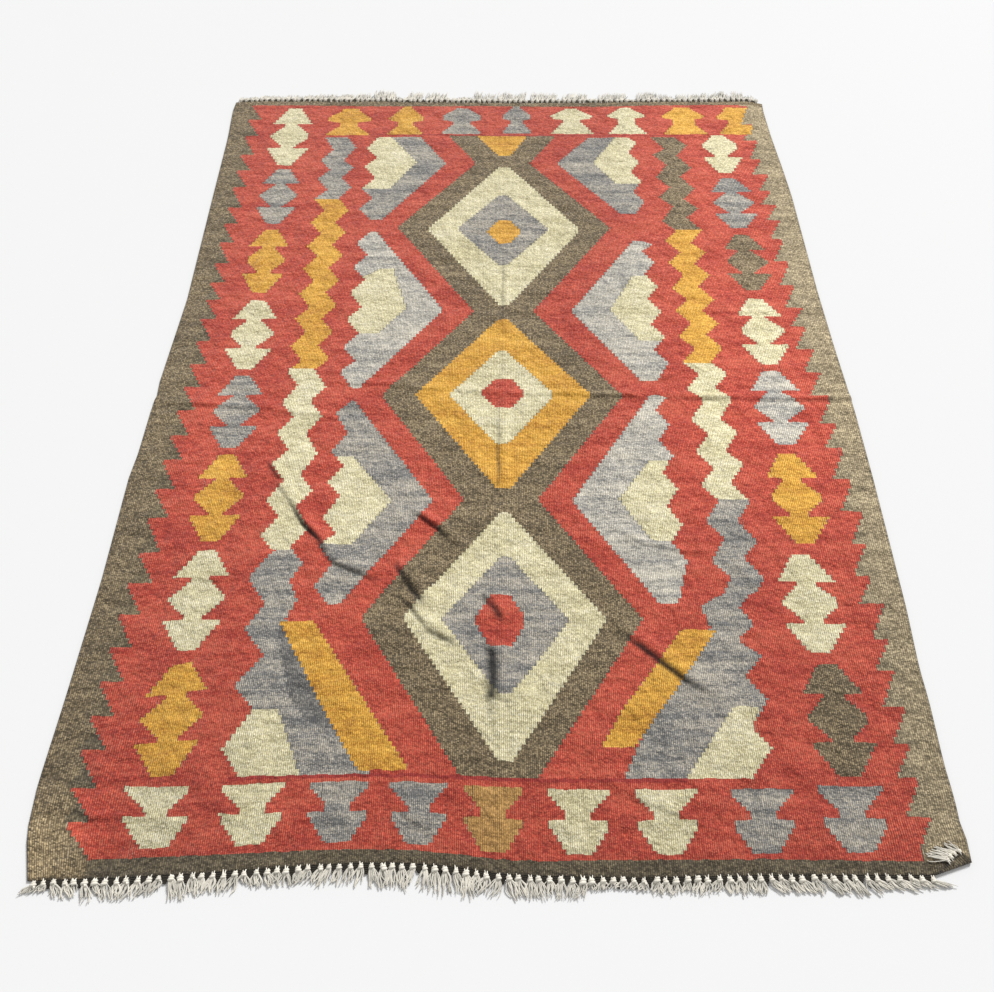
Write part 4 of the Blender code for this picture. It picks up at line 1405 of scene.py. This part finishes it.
def build_fringe(name, locks, row, edge_place, pads):
    """A row of locks as one mesh: loose yarn, brown wefts and dark yarns darkened as painted shade, and
    knots.
    """
    yarns = bpy.context.scene.kilim_yarns
    curve = bpy.data.curves.new(name, "CURVE")
    curve.dimensions = "3D"
    curve.bevel_depth = bpy.context.scene.kilim_sizes.yarn
    curve.bevel_resolution = 1
    curve.use_fill_caps = True
    # The wefts between the knots and the dark yarns take a small share of their wool's colour as painted
    # shade.
    looks = (
        ("_yarn", yarns.warp, LOOSE_SHARE, 0.4),
        ("_wefts", yarns.walnut, row.wefts, 0.3),
        ("_old_yarn", yarns.warp, SHADE_YARN_SHARE, 0.5),
        ("_knots", yarns.warp, 1.0, 0.15),
    )
    for ending, wool, share, darkening in looks:
        colour = tuple(share * part for part in wool)
        curve.materials.append(yarn_material(name + ending, colour, darkening))
    draw = random.Random(row.seed)
    if pads:
        add_pads(curve, locks, edge_place, row, draw)
    for lock in locks:
        add_lock(curve, lock, edge_place(lock.at), row, draw)
    piece = link_piece(name, curve)
    select_only(piece)
    bpy.ops.object.convert(target="MESH")
    return bpy.context.view_layer.objects.active


def near_place(u):
    return lay_out(u, 0.0)


def far_place(u):
    return lay_out(u, LENGTH)


def turned_place(u):
    """A place on the part of the near edge that is turned over."""
    return bend(near_place(u).to_3d()).xy


def dress_fringe(piece, node):
    """Puts a fringe in its solid's place."""
    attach(piece, "root")
    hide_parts(node)


# ----------------------------------------------------------------------------------------------------------
# The operators.


class KILIM_OT_weave_cloth(bpy.types.Operator):
    """Weave the cloth with its chart, its folds and its turned-over corner"""

    bl_idname = "kilim.weave_cloth"
    bl_label = "Weave cloth"

    def execute(self, context):
        yarns = context.scene.kilim_yarns
        sizes = context.scene.kilim_sizes
        order = list(DYES)
        mesh = build_cloth_mesh(order, sizes.unevenness)
        for yarn in order:
            mesh.materials.append(weave_material(yarn, tuple(getattr(yarns, yarn)), sizes))
        cloth = link_piece("woven_cloth", mesh)
        select_only(cloth)
        bpy.ops.object.shade_smooth_by_angle(angle=math.radians(SMOOTH_ANGLE))
        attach(cloth, "root")
        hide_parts("kilim_cloth")
        return {"FINISHED"}


class KILIM_OT_tie_near_fringe(bpy.types.Operator):
    """Tie the knotted locks along the near end"""

    bl_idname = "kilim.tie_near_fringe"
    bl_label = "Tie near fringe"

    def execute(self, context):
        locks = place_locks(NEAR_TUFTS, NEAR_FROM, NEAR_TO, NEAR_LOCKS)
        sides = {"side": Vector((1.0, 0.0)), "outward": Vector((0.0, -1.0)), "floor": 0.0, "scale": 1.0}
        row = Row(yarns=9, old_yarns=3, seed=11, wefts=0.11, **sides)
        dress_fringe(build_fringe("near_end_locks", locks, row, near_place, True), "near_fringe")
        return {"FINISHED"}


class KILIM_OT_tie_far_fringe(bpy.types.Operator):
    """Tie the locks along the far end"""

    bl_idname = "kilim.tie_far_fringe"
    bl_label = "Tie far fringe"

    def execute(self, context):
        locks = place_locks(FAR_TUFTS, FAR_FROM, FAR_TO, FAR_LOCKS)
        sides = {"side": Vector((1.0, 0.0)), "outward": Vector((0.0, 1.0)), "floor": 0.0, "scale": 1.0}
        row = Row(yarns=8, old_yarns=3, seed=23, wefts=0.32, **sides)
        dress_fringe(build_fringe("far_end_locks", locks, row, far_place, True), "far_fringe")
        return {"FINISHED"}


class KILIM_OT_tie_corner_fringe(bpy.types.Operator):
    """Tie the last locks, on the turned-over corner"""

    bl_idname = "kilim.tie_corner_fringe"
    bl_label = "Tie corner fringe"

    def execute(self, context):
        locks = place_locks(CORNER_TUFTS, CORNER_FROM, CORNER_TO, CORNER_LOCKS)
        side = (turned_place(CORNER_TO) - turned_place(CORNER_FROM)).normalized()
        outward = Vector((-side.y, side.x))
        sides = {"side": side, "outward": outward, "floor": THICKNESS + GAP, "scale": CORNER_SCALE}
        row = Row(yarns=6, old_yarns=2, seed=5, wefts=0.13, **sides)
        dress_fringe(build_fringe("corner_locks", locks, row, turned_place, False), "corner_fringe")
        return {"FINISHED"}


class KILIM_OT_set_stage(bpy.types.Operator):
    """Lay the floor, hang the lights and stand the camera"""

    bl_idname = "kilim.set_stage"
    bl_label = "Set stage"

    def execute(self, context):
        lay_floor(context.scene.kilim_yarns)
        hang_lamp()
        light_world()
        stand_camera()
        scene = context.scene
        scene.view_settings.view_transform = "Standard"
        scene.view_settings.look = "None"
        return {"FINISHED"}


def lay_floor(yarns):
    bpy.ops.object.select_all(action="DESELECT")
    bpy.ops.mesh.primitive_plane_add(size=FLOOR_SIZE, location=(0.0, 0.0, -FLOOR_DROP))
    floor = bpy.context.active_object
    floor.name = "floor"
    material, tree, shader = start_material("floor_paint", FLOOR_ROUGHNESS)
    shader.inputs["Base Color"].default_value = (*yarns.floor, 1.0)
    shader.inputs["Sheen Weight"].default_value = 0.0
    floor.data.materials.append(material)


def hang_lamp():
    light = bpy.data.lights.new("window", "SUN")
    light.energy = LAMP_STRENGTH
    light.angle = math.radians(LAMP_WIDTH)
    lamp = bpy.data.objects.new("window", light)
    lamp.rotation_euler = Euler([math.radians(turn) for turn in LAMP_TURN])
    bpy.context.scene.collection.objects.link(lamp)


def light_world():
    world = bpy.data.worlds.new("pale_room")
    world.use_nodes = True
    sky = world.node_tree.nodes["Background"]
    sky.inputs["Color"].default_value = (1.0, 1.0, 1.0, 1.0)
    sky.inputs["Strength"].default_value = WORLD_STRENGTH
    bpy.context.scene.world = world


def stand_camera():
    view = bpy.data.cameras.new("camera")
    view.lens = CAMERA_LENS
    camera = bpy.data.objects.new("camera", view)
    camera.location = CAMERA_PLACE
    camera.rotation_euler = Euler([math.radians(turn) for turn in CAMERA_TURN])
    bpy.context.scene.collection.objects.link(camera)
    bpy.context.scene.camera = camera


class VIEW3D_PT_kilim(bpy.types.Panel):
    """Lists the kilim's makers, its sizes and its colours"""

    bl_label = "Kilim"
    bl_idname = "VIEW3D_PT_kilim"
    bl_space_type = "VIEW_3D"
    bl_region_type = "UI"
    bl_category = "Kilim"

    def draw(self, context):
        for operator in OPERATORS:
            self.layout.operator(operator.bl_idname)
        for group in (context.scene.kilim_sizes, context.scene.kilim_yarns):
            box = self.layout.box()
            for name in group.__annotations__:
                box.prop(group, name)


OPERATORS = (
    KILIM_OT_weave_cloth,
    KILIM_OT_tie_near_fringe,
    KILIM_OT_tie_far_fringe,
    KILIM_OT_tie_corner_fringe,
    KILIM_OT_set_stage,
)
CLASSES = (KilimYarns, KilimSizes, *OPERATORS, VIEW3D_PT_kilim)


def register():
    for one in CLASSES:
        bpy.utils.register_class(one)
    bpy.types.Scene.kilim_yarns = bpy.props.PointerProperty(type=KilimYarns)
    bpy.types.Scene.kilim_sizes = bpy.props.PointerProperty(type=KilimSizes)


def unregister():
    del bpy.types.Scene.kilim_sizes
    del bpy.types.Scene.kilim_yarns
    for one in reversed(CLASSES):
        bpy.utils.unregister_class(one)


def main():
    register()
    bpy.ops.kilim.weave_cloth()
    bpy.ops.kilim.tie_near_fringe()
    bpy.ops.kilim.tie_far_fringe()
    bpy.ops.kilim.tie_corner_fringe()
    bpy.ops.kilim.set_stage()


if __name__ == "__main__":
    main()
